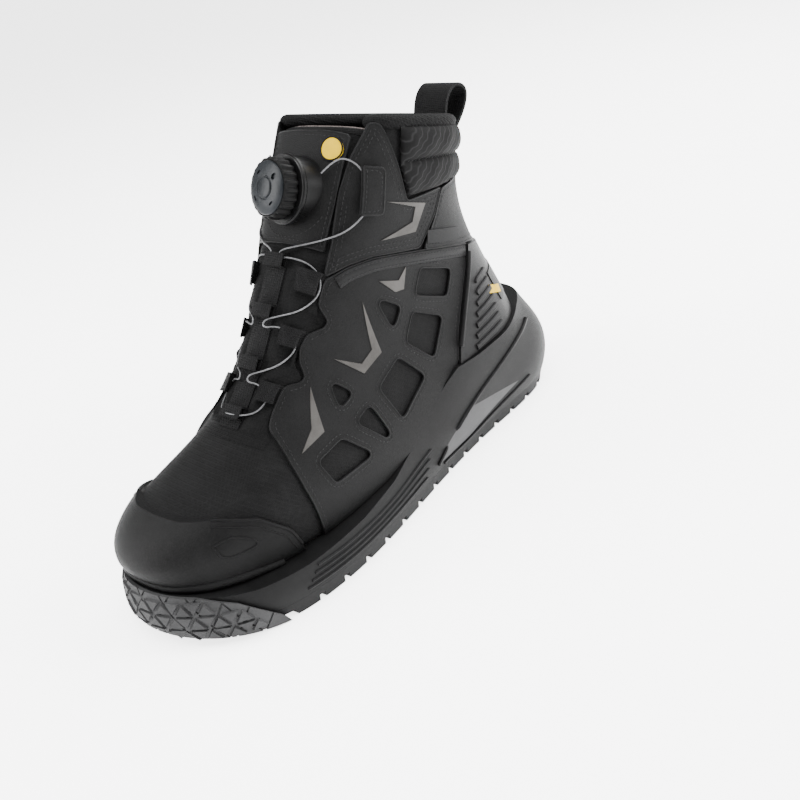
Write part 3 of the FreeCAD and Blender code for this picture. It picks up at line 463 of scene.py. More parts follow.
def resample(points, closed, step):
    """Evenly spaced points along a run."""
    if closed:
        points = points + [points[0]]
    reach = [0.0]
    for a, b in zip(points, points[1:]):
        reach.append(reach[-1] + (b - a).length)
    count = max(3, round(reach[-1] / (step * MM)))
    places, index = [], 0
    for k in range(count + (0 if closed else 1)):
        goal = reach[-1] * k / count
        while index < len(reach) - 2 and reach[index + 1] < goal:
            index += 1
        span = max(reach[index + 1] - reach[index], 1e-9)
        places.append(points[index].lerp(points[index + 1], (goal - reach[index]) / span))
    return places


def soften(points, closed, times):
    """Takes the small steps out of a run."""
    for _ in range(times):
        last = len(points) - 1
        points = [p if not closed and k in (0, last) else
                  (points[k - 1] + p * 2 + points[(k + 1) % (last + 1)]) / 4
                  for k, p in enumerate(points)]
    return points


def as_run(points, closed, step=1.5, smooth=2):
    """A run with the outward direction at each of its points."""
    points = soften(resample(points, closed, step), closed, smooth)
    return points, [outward(p) for p in points], closed


def rim_runs(name, height, keep=None):
    """The outer edge lines of a panel that stands at least height mm over the cloth."""
    mesh = bmesh.new()
    mesh.from_mesh(nodes[name].data)
    bmesh.ops.remove_doubles(mesh, verts=mesh.verts, dist=0.003 * MM)
    links = {}
    for edge in mesh.edges:
        if len(edge.link_faces) != 2 or edge.calc_face_angle(0) < math.radians(45):
            continue
        ends = [v.co for v in edge.verts]
        if keep and not all(keep(p / MM) for p in ends):
            continue
        if min(cloth_surface.find_nearest(p)[3] for p in ends) < height * MM:
            continue
        one, other = edge.verts
        links.setdefault(one.index, []).append(other.index)
        links.setdefault(other.index, []).append(one.index)
    mesh.verts.ensure_lookup_table()
    runs = []
    for chain in chain_edges(links):
        points = [mesh.verts[i].co.copy() for i in chain]
        closed = chain[0] == chain[-1] and len(chain) > 3
        if closed:
            points = points[:-1]
        if sum((b - a).length for a, b in zip(points, points[1:])) > 8 * MM:
            runs.append(as_run(points, closed))
    mesh.free()
    return runs


def beside(runs, inset, tree, slack=0.45):
    """Runs moved sideways onto the panel by inset mm, cut where they leave it."""
    moved = []
    for points, normals, closed in runs:
        count = len(points)
        tries = []
        for sign in (1, -1):
            line = []
            for k, point in enumerate(points):
                before = points[k - 1] if closed or k else point
                after = points[(k + 1) % count] if closed or k < count - 1 else point
                across = (after - before).cross(normals[k]).normalized() * sign
                place, _, _, gap = tree.find_nearest(point + across * inset * MM)
                line.append((place, gap / MM))
            tries.append(line)
        line = min(tries, key=lambda one: sum(min(gap, 2.0) for _, gap in one))
        part = []
        for place, gap in line + [(None, 9.0)]:
            crowded = part and place is not None and (place - part[-1]).length < 0.3 * MM
            if place is not None and gap < slack:
                if not crowded:
                    part.append(place)
                continue
            if len(part) > 4:
                moved.append(as_run(part, False, 1.2, 3))
            part = []
    return moved


# %% [markdown]
# A line becomes a solid by a sweep: the same small outline is set square to the line at
# every point, and neighbouring outlines are joined by faces. Blender's bevelled curves do
# that too, but they can't keep one side of the outline against a surface.

# %% The sweep
def new_piece(name, points, faces, finish, body="root", angle=50):
    """A closed mesh with its faces turned outwards, smooth up to an angle."""
    mesh = bpy.data.meshes.new(name)
    mesh.from_pydata(points, [], faces)
    piece = bpy.data.objects.new(name, mesh)
    bpy.context.scene.collection.objects.link(piece)
    mesh.materials.append(finish)
    bpy.ops.object.select_all(action="DESELECT")
    bpy.context.view_layer.objects.active = piece
    piece.select_set(True)
    bpy.ops.object.mode_set(mode="EDIT")
    bpy.ops.mesh.select_all(action="SELECT")
    bpy.ops.mesh.normals_make_consistent(inside=False)
    bpy.ops.object.mode_set(mode="OBJECT")
    bpy.ops.object.shade_smooth_by_angle(angle=math.radians(angle))
    if body:
        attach(piece, body)
    return piece


def sweep(name, runs, outline, finish, body="root", angle=50):
    """One solid for each run, with the outline's points given across and out, in mm."""
    verts, faces = [], []
    size = len(outline)
    for points, normals, closed in runs:
        first, count = len(verts), len(points)
        for k, point in enumerate(points):
            before = points[k - 1] if closed or k else point
            after = points[(k + 1) % count] if closed or k < count - 1 else point
            across = (after - before).cross(normals[k]).normalized()
            out = across.cross(after - before).normalized()
            verts += [point + across * u * MM + out * w * MM for u, w in outline]
        for k in range(count if closed else count - 1):
            a, b = first + k * size, first + (k + 1) % count * size
            faces += [(a + i, a + (i + 1) % size, b + (i + 1) % size, b + i) for i in range(size)]
        if not closed:
            faces += [list(range(first, first + size)),
                      list(range(first + (count - 1) * size, first + count * size))]
    return new_piece(name, verts, faces, finish, body, angle)


def round_outline(radius, lift=0.0, sides=8):
    return [(radius * math.cos(2 * math.pi * k / sides), lift + radius * math.sin(2 * math.pi * k / sides))
            for k in range(sides)]


def flat_outline(width, height, sink=0.3):
    half = width / 2
    return [(-half, -sink), (half, -sink), (half, height * 0.45), (half - height * 0.5, height),
            (height * 0.5 - half, height), (-half, height * 0.45)]


# %% [markdown]
# One stitch is a short thread with sunk, pointed ends. It is modelled once as a small
# six-sided ball that is stretched, and copied along the lines.

# %% Stitches
STITCH_LENGTH = 1.75
STITCH_PITCH = 2.6
STITCH_RADIUS = 0.27


def one_stitch():
    bpy.ops.object.select_all(action="DESELECT")
    bpy.ops.mesh.primitive_uv_sphere_add(segments=6, ring_count=4, radius=1, rotation=(0, math.pi / 2, 0))
    ball = bpy.context.active_object
    bpy.ops.object.transform_apply(location=True, rotation=True, scale=True)
    shape = (STITCH_LENGTH / 2 * MM, STITCH_RADIUS * MM, STITCH_RADIUS * MM)
    points = [Vector(c * s for c, s in zip(v.co, shape)) for v in ball.data.vertices]
    faces = [tuple(p.vertices) for p in ball.data.polygons]
    bpy.data.objects.remove(ball)
    return points, faces


stitch_points, stitch_faces = one_stitch()


def stitches(name, runs, body="root", finish=THREAD):
    verts, faces, count = [], [], 0
    for points, _, closed in runs:
        line = resample(points, closed, STITCH_PITCH)
        for a, b in zip(line, line[1:] + (line[:1] if closed else [])):
            middle = (a + b) / 2
            along = (b - a).normalized()
            out = outward(middle)
            across = out.cross(along).normalized()
            turn = Matrix((along, across, along.cross(across))).transposed()
            first = len(verts)
            verts += [middle + turn @ p for p in stitch_points]
            faces += [tuple(first + i for i in f) for f in stitch_faces]
            count += 1
    piece = new_piece(name, verts, faces, finish, body)
    print(name, count, "stitches")
    return piece


# %% Folded edges and seams of the leather panels
def over_sole(point):
    """Leaves out what lies in the sole's channel."""
    line = [(-120, 27), (-50, 27), (0, 35), (40, 55), (70, 60), (150, 64)]
    for (y0, z0), (y1, z1) in zip(line, line[1:]):
        if y0 <= point.y <= y1:
            return point.z > z0 + (z1 - z0) * (point.y - y0) / (y1 - y0) + 2
    return True


def finish_panel(name, height, body="root", inset=2.6, second=None):
    tree = surface_of(name)
    runs = rim_runs(name, height, over_sole)
    sweep(name + "_fold", runs, round_outline(0.5, -0.15), LEATHER_EDGE, body)
    rows = beside(runs, inset, tree)
    if second:
        rows += beside(runs, second, tree)
    stitches(name + "_stitches", rows, body)
    print(name, "edge runs", len(runs), "stitch rows", len(rows))


for panel in ("quarter_lateral", "quarter_medial", "backstay"):
    finish_panel(panel, 1.5)
for panel in ("ankle_panel_lateral", "ankle_panel_medial"):
    finish_panel(panel, 1.5, second=5.0)
finish_panel("tongue_panel", 1.2, "tongue", inset=2.2)
for panel in ("lace_patch_lateral", "lace_patch_medial"):
    finish_panel(panel, 4.0, inset=1.6)

# %% [markdown]
# Lines that aren't an edge of a piece are drawn on the side view and thrown onto the
# surface from outside, as a seamstress marks a seam with chalk.

# %% Lines drawn on the side of the boot
def curve_through(points, step=2.0):
    """A smooth line through points of any dimension, in mm."""
    points = [Vector(p) for p in points]
    padded = [points[0] * 2 - points[1]] + points + [points[-1] * 2 - points[-2]]
    line = []
    for a, b, c, d in zip(padded, padded[1:], padded[2:], padded[3:]):
        parts = max(2, round((c - b).length / step))
        for k in range(parts):
            t = k / parts
            line.append(0.5 * (2 * b + (c - a) * t + (2 * a - 5 * b + 4 * c - d) * t * t
                               + (3 * b - a - 3 * c + d) * t ** 3))
    return line + [points[-1]]


def drawn_on_side(side, points, tree, closed=False):
    """A run on the outer (1) or inner (-1) side through y, z points."""
    found = []
    for y, z in curve_through(points):
        start = Vector((side * 0.12, y * MM, z * MM))
        place = tree.ray_cast(start, Vector((-side, 0, 0)))[0]
        if place:
            found.append(place)
    return as_run(found, closed, 1.5, 1)


SIDES = {"lateral": 1, "medial": -1}
QUARTER_TOP = [(-4, 135.5), (4, 137), (18, 136), (36, 131), (58, 124), (88, 113.5)]
COUNTER_EDGE = [(90, 112), (79, 96.5), (66, 76), (57, 62)]
RIB_COUNT = 7


def dress_quarters():
    for word, side in SIDES.items():
        tree = surface_of("quarter_" + word)
        band = drawn_on_side(side, QUARTER_TOP, tree)
        sweep("top_band_" + word, [band], flat_outline(6.4, 0.8), LEATHER_EDGE)
        rows = []
        for shift in (-1.9, 1.9):
            row = drawn_on_side(side, [(y, z + shift) for y, z in QUARTER_TOP], tree)
            raised = [p + n * 0.85 * MM for p, n in zip(row[0], row[1])]
            rows.append((raised, row[1], False))
        stitches("top_band_stitches_" + word, rows)


def dress_counter():
    tree = surface_of("heel_counter")
    for word, side in SIDES.items():
        piping = drawn_on_side(side, COUNTER_EDGE, tree)
        sweep("counter_piping_" + word, [piping], round_outline(1.5, 0.1, 10), COUNTER_SKIN)
        ribs = []
        for index in range(RIB_COUNT):
            z = 60 + index * 5.6
            front = 64 + (z - 53) * 0.47
            ribs.append(drawn_on_side(side, [(front + 5, z), (88, z + 1), (101, z + 2)], tree))
        sweep("counter_ribs_" + word, ribs, flat_outline(3.4, 1.1), COUNTER_SKIN, angle=30)


def dress_heel_patch():
    """A plain yellow bar printed low on the outer half of the heel's patch."""
    tree = surface_of("heel_patch", "heel_counter")
    bar = drawn_on_side(1, [(99, 84), (106, 81), (113, 78)], tree)
    if len(bar[0]) > 2:
        sweep("heel_patch_bar", [bar], flat_outline(5.0, 0.35, 0.1), YELLOW, angle=30)


dress_quarters()
dress_counter()
dress_heel_patch()

# %% [markdown]
# The toe bumper is dipped rubber with a rolled upper rim, a second thinner line below it
# and a shallow three-sided mark on the outer side.

# %% Toe bumper
def dress_bumper():
    tree = surface_of("toe_bumper")
    rim = rim_runs("toe_bumper", 2.4, over_sole)
    sweep("bumper_rim", rim, round_outline(0.95, -0.35, 10), BUMPER_SKIN)
    line = beside(rim, 3.4, tree, 0.6)
    sweep("bumper_line", line, round_outline(0.5, -0.1, 8), BUMPER_SKIN)
    mark = drawn_on_side(1, [(-124, 50), (-115, 51), (-107, 46), (-106, 43), (-112, 42), (-122, 43),
                             (-124, 50)], tree)
    sweep("bumper_mark", [(mark[0][:-1], mark[1][:-1], True)], round_outline(0.55, -0.05, 8), BUMPER_SKIN)
    print("bumper rim runs", len(rim))


dress_bumper()

# %% [markdown]
# The foam of the midsole is moulded with long ridges beside the ball of the foot, and a
# sharp lip runs down from the heel's flange to the ground. They are low bands laid on it.

# %% Ridges of the midsole
def dress_midsole():
    tree = surface_of("midsole", "toe_wrap")
    for word, side in SIDES.items():
        ridges = []
        for index in range(4):
            z = 10.8 + 3.1 * index
            ridges.append(drawn_on_side(side, [(-96 + 3 * index, z + 1), (-60, z), (-25, z + 0.4),
                                               (6 + 3 * index, z + 1.5 + 1.2 * index)], tree))
        sweep("midsole_ridges_" + word, ridges, flat_outline(1.5, 0.7), SOLE_FOAM, angle=30)
        lip = drawn_on_side(side, [(128, 50), (105, 46), (80, 38.5), (60, 31.5), (36, 21), (18, 13)], tree)
        sweep("flange_lip_" + word, [lip], flat_outline(2.6, 1.3), SOLE_FOAM, angle=30)
        foot = drawn_on_side(side, [(116, 17.5), (90, 13.5), (54, 9.8), (24, 10.3)], tree)
        sweep("facet_foot_" + word, [foot], flat_outline(1.8, 0.9), SOLE_FOAM, angle=30)
        lines = [drawn_on_side(side, [(34 + 5 * k, 13.5 + 3 * k), (60, 14.5 + 3 * k),
                                      (82 - 3 * k, 16 + 2.6 * k)], tree) for k in range(3)]
        sweep("facet_lines_" + word, lines, flat_outline(0.8, 0.35), FACET_FOAM, angle=30)


dress_midsole()

# %% [markdown]
# The padded pieces are closed forms that swell between their seams. Their model solids
# are plain, so each is laid anew: rays find the plain surface, a sum of smooth waves
# lifts it where the padding is thick, and an inner wall closes it.

# %% A padded form over a grid of places
def padded_form(name, columns, finish, body="root", closed=False):
    """Joins columns of (outer point, inner point) pairs into one closed form."""
    rows = len(columns[0])
    verts = [p for column in columns for pair in column for p in pair]
    faces = []

    def at(c, r, inner):
        return 2 * ((c % len(columns)) * rows + r) + inner

    for c in range(len(columns) if closed else len(columns) - 1):
        for r in range(rows - 1):
            for inner in (0, 1):
                ring = [at(c, r, inner), at(c + 1, r, inner), at(c + 1, r + 1, inner), at(c, r + 1, inner)]
                faces.append(ring if inner else ring[::-1])
        for r in (0, rows - 1):
            faces.append([at(c, r, 0), at(c + 1, r, 0), at(c + 1, r, 1), at(c, r, 1)])
    if not closed:
        for c in (0, len(columns) - 1):
            for r in range(rows - 1):
                faces.append([at(c, r, 0), at(c, r + 1, 0), at(c, r + 1, 1), at(c, r, 1)])
    return new_piece(name, verts, faces, finish, body, 60)


# %% [markdown]
# The collar's padding is quilted into two thick rolls that go round the back of the
# ankle. Places on it are found by the turn about the shaft and the depth below the rim.

# %% Collar padding
SHAFT_CENTRE = Vector((0, 75.5, 196.0))
SHAFT_BACK = Vector((0, 0.950, -0.313))
SHAFT_DOWN = Vector((0, -0.313, -0.950))


def on_shaft(turn, depth, tree):
    """Where a ray from outside meets the shaft, and the way back out."""
    way = Vector((math.cos(math.radians(turn)), 0, 0)) + SHAFT_BACK * math.sin(math.radians(turn))
    start = SHAFT_CENTRE + SHAFT_DOWN * depth + way * 110
    return tree.ray_cast(start * MM, -way)[0], way


def make_collar_padding():
    tree = surface_of("collar_padding")
    columns, seam = [], []
    for turn in range(-27, 208, 2):
        side = abs(turn - 90) / 117
        bottom = 32 + 9 * side ** 1.5
        column, last = [], None
        for step in range(25):
            share = step / 24
            depth = 4.5 + (bottom - 4.5) * share
            place, way = on_shaft(turn, depth, tree)
            if place is None:
                place = last
            last = place
            column.append((place, way, share))
        column = [one if one[0] else next(o for o in column if o[0]) for one in column]
        pairs = []
        ends = min(1.0, (117 - abs(turn - 90)) / 9)
        for place, way, share in column:
            roll = abs(math.sin(2 * math.pi * share)) ** 0.55 * (1.0 if share < 0.5 else 0.8)
            ripple = 0.25 * math.sin(turn * 0.35 + share * 9)
            lift = -2.3 + (3.6 * roll + ripple * roll) * ends ** 0.5
            pairs.append((place + way * lift * MM, place - way * 3.9 * MM))
        columns.append(pairs)
        seam.append(pairs[12][0] + column[12][1] * 0.15 * MM)
    piece = padded_form("collar_rolls", columns, COLLAR_CLOTH)
    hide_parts("collar_padding")
    stitches("collar_seam_stitches", [as_run(seam[2:-2], False, 1.5, 1)])


make_collar_padding()

# %% [markdown]
# The rim of the collar is bound with a thick knitted tube. Its middle runs round the
# wall's top, and it stops on each side of the tongue.

# %% Bindings
def oval_outline(wide, high, sides=14):
    return [(wide * math.cos(2 * math.pi * k / sides), high * math.sin(2 * math.pi * k / sides))
            for k in range(sides)]


def make_collar_binding():
    tree = surface_of("collar_binding")
    points = []
    for turn in range(-100, 281, 3):
        place, way = on_shaft(turn, 0.9, tree)
        if place is not None:
            points.append(place - way * 4.5 * MM + SHAFT_DOWN * 1.9 * MM)
    points = soften(resample(points, False, 3.0), False, 3)
    runs = [(points, [-SHAFT_DOWN] * len(points), False)]
    piece = sweep("collar_knit_roll", runs, oval_outline(4.9, 3.9), KNIT, angle=80)
    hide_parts("collar_binding")
    print("collar roll points", len(points))


make_collar_binding()

# %% [markdown]
# The tongue is one soft piece from the throat to the collar. Below the ankle bend it
# swells into pillows between the lace guides. Below the leather dial panel its edges
# reach under the scalloped leather, and above it they keep inside the opening.

# %% Tongue
WIRE_ROUTE = [
    (18.5, 13.5, 187.5), (24.0, 20.0, 193.0), (31.0, 24.0, 191.5), (36.5, 26.0, 184.0),
    (39.0, 25.5, 174.5), (38.0, 19.5, 165.0), (33.0, 8.0, 159.0), (24.0, -3.0, 158.0),
    (13.0, -10.5, 157.5), (3.5, -13.5, 156.0), (3.0, -16.0, 153.0), (12.0, -14.0, 152.5),
    (20.0, -11.0, 148.5), (25.0, -10.0, 141.0), (25.0, -15.0, 132.5), (20.0, -25.0, 128.5),
    (12.0, -33.0, 128.5), (4.0, -37.0, 127.5), (4.0, -39.5, 124.0), (12.0, -36.5, 124.5),
    (19.0, -32.5, 120.0), (20.5, -35.0, 111.0), (16.5, -45.0, 107.0), (9.5, -52.5, 106.0),
    (3.0, -56.0, 105.0), (3.0, -58.5, 102.0), (9.5, -56.5, 101.0), (15.5, -56.5, 95.0),
    (14.5, -65.0, 90.0), (8.0, -71.5, 90.0), (0.0, -73.5, 91.0),
]
INSTEP_ORIGIN = Vector((0, -20, 144))
INSTEP_RISE = Vector((0, 0.6823, 0.7311))
INSTEP_OUT = Vector((0, -0.7311, 0.6823))
OPENING = [(-94, 20), (-72, 20), (-60, 19.5), (-46, 20), (-30, 21), (-14, 22), (0, 25), (22, 27),
           (48, 27), (66, 29), (82, 33), (120, 35)]
SCALLOPS = [(-94, 30), (-88, 30), (-80, 23), (-70, 20.5), (-60, 20), (-54, 20.5), (-50, 25), (-46, 25.5),
            (-40, 22.5), (-33, 21.5), (-26, 22.5), (-19, 27), (-15, 27.5), (-9, 24.5), (2, 25.5),
            (10, 28), (24, 34), (120, 37)]
PILLOW_SEAMS = (-82, -59, -29, 0.5, 17)
TONGUE_BEND = 13.0


def between(table, along):
    """The width that a table of (along, width) gives at one place."""
    for (a0, w0), (a1, w1) in zip(table, table[1:]):
        if a0 <= along <= a1:
            return w0 + (w1 - w0) * (along - a0) / (a1 - a0)
    return table[-1][1]


def instep_point(x, along, out=0.0):
    return INSTEP_ORIGIN + Vector((x, 0, 0)) + INSTEP_RISE * along + INSTEP_OUT * out


def instep_height(x, along, tree):
    """How far a surface stands out over the instep's own plane, in mm."""
    place = tree.ray_cast(instep_point(x, along, 40) * MM, -INSTEP_OUT)[0]
    return None if place is None else (place / MM - instep_point(x, along)).dot(INSTEP_OUT)


def smooth_height_table(tree):
    """Heights every 2 mm over the instep, with gaps and steps evened out."""
    table = {}
    for a in range(-92, 90, 2):
        row = [instep_height(x, a, tree) for x in range(-36, 37, 2)]
        middle = row[18] if row[18] is not None else 0.0
        for k in range(19, 37):
            good = row[k] is not None and abs(row[k] - row[k - 1] if row[k - 1] is not None else 0) < 4
            row[k] = row[k] if good else (row[k - 1] if row[k - 1] is not None else middle)
        for k in range(17, -1, -1):
            good = row[k] is not None and abs(row[k] - row[k + 1]) < 4
            row[k] = row[k] if good else row[k + 1]
        table[a] = row
    keys = sorted(table)
    for _ in range(2):
        table = {a: [(table[keys[max(i - 1, 0)]][k] + table[a][k] * 2
                      + table[keys[min(i + 1, len(keys) - 1)]][k]) / 4 for k in range(37)]
                 for i, a in enumerate(keys)}
    return table


def read_height(table, x, along):
    a0 = int(math.floor(along / 2) * 2)
    k0 = min(max(int(math.floor((x + 36) / 2)), 0), 35)
    s, t = (along - a0) / 2, (x + 36) / 2 - k0
    low, high = table[a0], table[min(a0 + 2, 88)]
    return ((low[k0] * (1 - t) + low[k0 + 1] * t) * (1 - s)
            + (high[k0] * (1 - t) + high[k0 + 1] * t) * s)


def pillow(share, along):
    """The swelling between two cross seams and between the strap and the edge."""
    if along > PILLOW_SEAMS[-1]:
        return 0.0
    for low, high in zip(PILLOW_SEAMS, PILLOW_SEAMS[1:]):
        if low <= along <= high:
            length = math.sin(math.pi * (along - low) / (high - low)) ** 0.6
            width = max(0.0, 1 - abs((abs(share) - 0.70) / 0.33)) ** 0.6
            return 2.9 * length * width * (1.0 if high < 10 else 0.45)
    return 0.0


WIRE_LEVEL = 1.0
WIRE_REACH = 6


def wire_clearance(table):
    """Places of the wire over the instep with its height above the cloth, in mm."""
    places = []
    for side in (1, -1):
        line = [Vector((side * x, y, z)) - INSTEP_ORIGIN for x, y, z in curve_through(WIRE_ROUTE[8:])]
        for p in line:
            x, along = p.x, p.dot(INSTEP_RISE)
            if -86 < along < 86 and abs(x) < 36:
                places.append((x, along, p.dot(INSTEP_OUT) - read_height(table, x, along)))
    print("wire over the cloth, mm:", [round(h, 1) for _, _, h in places[::6]])
    return places


def make_tongue():
    tree = surface_of("tongue_pad", "tongue_gusset", "side_cloth", "vamp")
    table = smooth_height_table(tree)
    wire = wire_clearance(table)
    columns = []
    for step in range(61):
        share = step / 30 - 1
        column = []
        for along in range(-88, 79):
            inside = between(OPENING, along) - 1.0
            under_edge = max(inside, min(inside + 5, between(SCALLOPS, along) - 0.9))
            mix = min(1, max(0, (TONGUE_BEND - 2 - along) / 6))
            half = inside + (under_edge - inside) * mix
            x = share * half
            height = read_height(table, x, along)
            over = 0.35 * mix
            lift = pillow(share, along)
            for wx, wa, wh in wire:
                gap = (wx - x) ** 2 + (wa - along) ** 2
                if gap < WIRE_REACH ** 2:
                    lift = min(lift, max(0.0, wh - WIRE_LEVEL) + (gap / WIRE_REACH ** 2) ** 2 * 3)
            lift += over
            rib = 0.0 if along > 16 else 0.10 * math.sin(along * 2 * math.pi / 2.2)
            outer = instep_point(x, along, height + lift + rib)
            inner = instep_point(share * (inside - 0.5), along, height + (0.05 if along < -82 else -4.8))
            column.append((outer * MM, inner * MM))
        columns.append(column)
    piece = padded_form("tongue_quilt", columns, TONGUE_CLOTH, body=None)
    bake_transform(piece)
    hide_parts("tongue_pad", "tongue_gusset")
    top = []
    for x in range(-28, 29, 2):
        height = read_height(table, x, 80)
        top.append(instep_point(x, 80.5, height - 2.8) * MM)
    top = soften(top, False, 2)
    roll = sweep("tongue_top_roll", [(top, [INSTEP_RISE] * len(top), False)], oval_outline(4.2, 3.4), KNIT,
                 "tongue", 80)
    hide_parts("tongue_binding")
    fleece = [p + INSTEP_RISE * 1.6 * MM - INSTEP_OUT * 1.6 * MM for p in top[1:-1]]
    sweep("tongue_fleece", [(fleece, [INSTEP_RISE] * len(fleece), False)], oval_outline(3.6, 2.9), LINING,
          "tongue", 80)


make_tongue()

# %% Badge rim
BADGE_CENTRE = (19, 68.5)
BADGE_RADIUS = 6.0


def make_badge_rim():
    tree = surface_of("round_badge", "tongue_panel")
    ring = []
    for k in range(40):
        turn = 2 * math.pi * k / 40
        x = BADGE_CENTRE[0] + BADGE_RADIUS * math.cos(turn)
        along = BADGE_CENTRE[1] + BADGE_RADIUS * math.sin(turn)
        height = instep_height(x, along, tree)
        if height is not None:
            ring.append(instep_point(x, along, height) * MM)
    run = (ring, [INSTEP_OUT] * len(ring), True)
    sweep("badge_rim", [run], round_outline(0.45, 0.0), GRIP_RUBBER, "tongue")


make_badge_rim()

# %% [markdown]
# The dial has a soft ribbed grip and a hard domed face with a small boss, three slots
# and a drop-shaped hollow. Both are turned shapes: rings of points about the dial's
# axis. The grip's ribs are a wave in the ring's radius.

# %% Dial
DIAL_SEAT = Vector((1.6, 14.2378, 177.0193))
DIAL_AXIS = Vector((-0.094735, -0.901343, 0.422618))
GRIP_START = 15.4
GRIP_RIBS = 22
SEAM_CENTRE = (1.6, 42)
SEAM_RADIUS = 21.5


def dial_turn_frame():
    across = DIAL_AXIS.cross(Vector((0, 0, 1))).normalized()
    return Matrix((across, DIAL_AXIS.cross(across), DIAL_AXIS)).transposed()


def turned(name, rings, finish, body, sides=132, ribs=None):
    """A turned solid from (height, radius, rib depth) rings, from its base to its top."""
    frame_matrix = dial_turn_frame()
    verts, faces = [], []
    for height, radius, depth in rings:
        for k in range(sides):
            turn = 2 * math.pi * k / sides
            wave = 0.0
            if ribs:
                wave = depth * min(1.0, max(0.0, 0.5 - 1.6 * math.cos(turn * ribs)))
            place = Vector(((radius - wave) * math.cos(turn), (radius - wave) * math.sin(turn), height))
            verts.append((DIAL_SEAT + frame_matrix @ place) * MM)
    for r in range(len(rings) - 1):
        for k in range(sides):
            a, b = r * sides + k, r * sides + (k + 1) % sides
            faces.append((a, b, b + sides, a + sides))
    faces.append(tuple(range(sides)))
    faces.append(tuple(range((len(rings) - 1) * sides, len(rings) * sides)))
    return new_piece(name, verts, faces, finish, body, 32)


def cut_slots(piece, places):
    """Cuts rounded slots into the face: (radius, turn, length, width) each."""
    frame_matrix = dial_turn_frame().to_4x4()
    for radius, turn, length, width in places:
        bpy.ops.object.select_all(action="DESELECT")
        bpy.ops.mesh.primitive_cylinder_add(vertices=24, radius=1, depth=2)
        cutter = bpy.context.active_object
        spin = Matrix.Rotation(math.radians(turn), 4, "Z")
        place = Matrix.Translation(Vector((radius, 0, GRIP_START + 10.2)))
        size = Matrix.Diagonal((width / 2, length / 2, 0.9, 1))
        seat = Matrix.Translation(DIAL_SEAT) @ frame_matrix @ spin @ place @ size
        cutter.data.transform(Matrix.Scale(MM, 4) @ seat)
        cut = piece.modifiers.new("slot", "BOOLEAN")
        cut.object = cutter
        cut.operation = "DIFFERENCE"
        bpy.ops.object.select_all(action="DESELECT")
        bpy.context.view_layer.objects.active = piece
        piece.select_set(True)
        bpy.ops.object.modifier_apply(modifier="slot")
        bpy.data.objects.remove(cutter)


def make_dial():
    s = GRIP_START
    leather, arc = surface_of("tongue_panel"), []
    for k in range(25):
        turn = math.radians(200 + k * 140 / 24)
        x = SEAM_CENTRE[0] + SEAM_RADIUS * math.cos(turn)
        along = SEAM_CENTRE[1] + SEAM_RADIUS * math.sin(turn)
        height = instep_height(x, along, leather)
        if height is not None:
            arc.append(instep_point(x, along, height) * MM)
    stitches("dial_base_stitches", [as_run(arc, False, 1.5, 1)], "tongue")
    grip = turned("dial_grip", [(s, 14.6, 0.3), (s + 0.5, 15.5, 0.9), (s + 2.0, 15.9, 1.1),
                                (s + 5.5, 15.9, 1.1), (s + 7.4, 15.6, 0.9), (s + 8.3, 14.9, 0.4),
                                (s + 8.6, 14.3, 0.0), (s + 8.2, 13.6, 0.0)], GRIP_RUBBER, "knob",
                  sides=GRIP_RIBS * 8, ribs=GRIP_RIBS)
    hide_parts("dial_knob")
    face = turned("dial_face", [(s + 7.6, 13.7, 0), (s + 8.8, 13.7, 0), (s + 9.3, 13.3, 0),
                                (s + 9.9, 11.5, 0), (s + 10.3, 8.5, 0), (s + 10.4, 6.3, 0),
                                (s + 10.1, 5.9, 0), (s + 10.1, 5.5, 0), (s + 10.8, 5.1, 0),
                                (s + 11.0, 4.2, 0), (s + 11.05, 1.0, 0)], DIAL_FACE, "knob", sides=96)
    cut_slots(face, [(9.6, 40, 3.6, 1.3), (9.6, 130, 3.6, 1.3), (9.6, 310, 3.6, 1.3), (9.2, 222, 3.0, 4.2)])
    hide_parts("dial_cap")
    turned("dial_collar", [(s - 3.4, 17.5, 0), (s - 2.9, 18.1, 0), (s - 1.6, 18.1, 0), (s - 1.0, 17.4, 0),
                           (s - 0.9, 15.8, 0)], HARD_PLASTIC, "tongue", sides=96)


make_dial()

# %% [markdown]
# Round the toe the sole's rubber carries chunky three-sided lugs, and a strip of the same
# black rubber as the bumper fills the corner between the bumper and the sole. Places round
# the toe are found by the turn about a point over the ball of the foot and by the height.

# %% Toe of the sole
TOE_CENTRE = (-3, -92)
LUG_STEPS = 11
LUG_HEIGHT = 1.3
LUG_START, LUG_SWEEP = -66, 128
LUG_LEVELS = (4.5, 12.5, 20.5, 28.0)


def on_toe(turn, z, tree):
    """Where a level ray from outside meets the toe, and the way back out. 0 is the tip."""
    way = Vector((math.sin(math.radians(turn)), -math.cos(math.radians(turn)), 0))
    start = Vector((*TOE_CENTRE, z)) + way * 120
    return tree.ray_cast(start * MM, -way)[0], way


def toe_lug(corners, tree, height):
    """Two rings of points for a three-sided lug: its foot in the rubber and its top."""
    middle = sum(corners, Vector((0, 0))) / 3
    foot, top = [], []
    for corner in corners:
        wide = middle + (corner - middle) * 0.86
        small = middle + (corner - middle) * 0.66
        for place, ring, out in ((wide, foot, -0.5), (small, top, height)):
            hit, way = on_toe(place.x, place.y, tree)
            if hit is None:
                return None
            ring.append(hit + way * out * MM)
    return foot, top


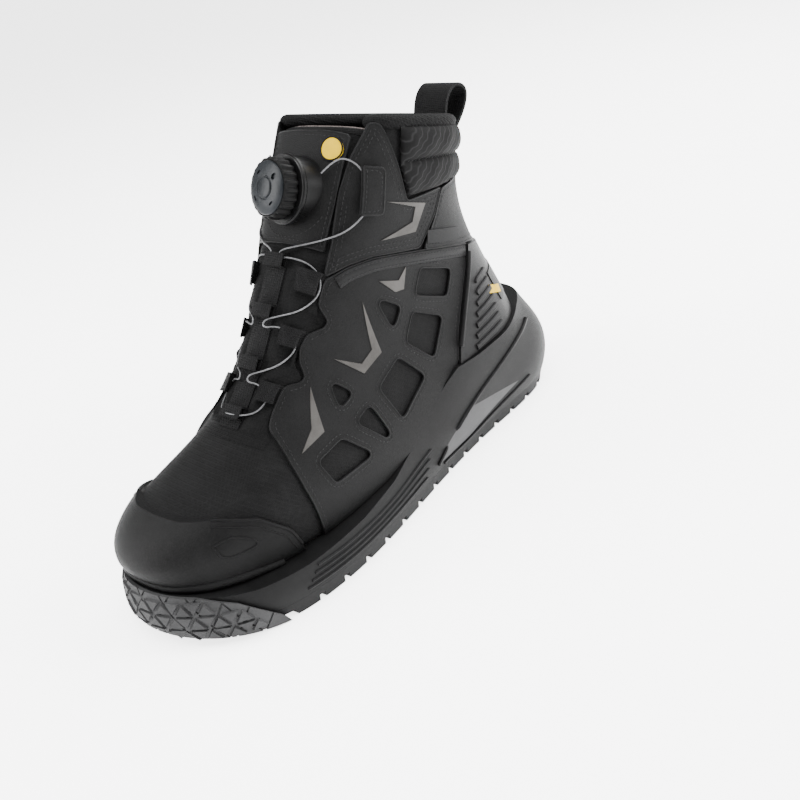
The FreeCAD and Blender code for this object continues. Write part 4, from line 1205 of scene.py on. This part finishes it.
def dress_toe():
    tree = surface_of("toe_wrap")
    verts, faces = [], []
    step = LUG_SWEEP / LUG_STEPS
    for level, (low, high) in enumerate(zip(LUG_LEVELS, LUG_LEVELS[1:])):
        for index in range(2 * LUG_STEPS):
            left = LUG_START + index * step / 2 + (level % 2) * step / 2
            rising = index % 2 == 0
            base, tip = (low, high) if rising else (high, low)
            corners = [Vector((left, base)), Vector((left + step, base)), Vector((left + step / 2, tip))]
            lug = toe_lug(corners, tree, LUG_HEIGHT)
            if lug is None:
                continue
            first = len(verts)
            verts += lug[0] + lug[1]
            faces += [(first, first + 1, first + 2), (first + 3, first + 4, first + 5)]
            faces += [(first + k, first + (k + 1) % 3, first + 3 + (k + 1) % 3, first + 3 + k)
                      for k in range(3)]
    new_piece("toe_lugs", verts, faces, TOE_RUBBER, "root", 20)
    bumper = surface_of("toe_bumper")
    strip = []
    for turn in range(-84, 85, 3):
        height = 30.5 - 5.5 * (abs(turn) / 84) ** 2
        hit, _ = on_toe(turn, height, bumper)
        if hit is not None:
            strip.append(hit)
    strip = soften(strip, False, 3)
    sweep("toe_strip", [(strip, [outward(p) for p in strip], False)], oval_outline(2.6, 2.2), BUMPER_SKIN,
          angle=80)
    print("toe lugs", len(faces) // 5)


dress_toe()

# %% [markdown]
# The wire is one coated steel strand, held by the boot all along, so it isn't a free
# cord. It is a smooth spline through the route of the model's own wire.

# %% Lace wire
WIRE_RADIUS = 0.48


def make_wire():
    outer = [Vector(p) for p in WIRE_ROUTE]
    route = outer + [Vector((-p.x, p.y, p.z)) for p in outer[-2::-1]]
    curve = bpy.data.curves.new("steel_lace", "CURVE")
    curve.dimensions = "3D"
    spline = curve.splines.new("NURBS")
    spline.points.add(len(route) - 1)
    for point, place in zip(spline.points, route):
        point.co = (*(place * MM), 1)
    spline.order_u = 3
    spline.use_endpoint_u = True
    spline.resolution_u = 8
    curve.bevel_depth = WIRE_RADIUS * MM
    curve.bevel_resolution = 2
    curve.use_fill_caps = True
    wire = bpy.data.objects.new("steel_lace", curve)
    bpy.context.scene.collection.objects.link(wire)
    bpy.ops.object.select_all(action="DESELECT")
    bpy.context.view_layer.objects.active = wire
    wire.select_set(True)
    bpy.ops.object.convert(target="MESH")
    wire = bpy.context.active_object
    wire.data.materials.append(STEEL)
    bpy.ops.object.shade_smooth()
    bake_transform(wire)
    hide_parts("lace_wire")


make_wire()
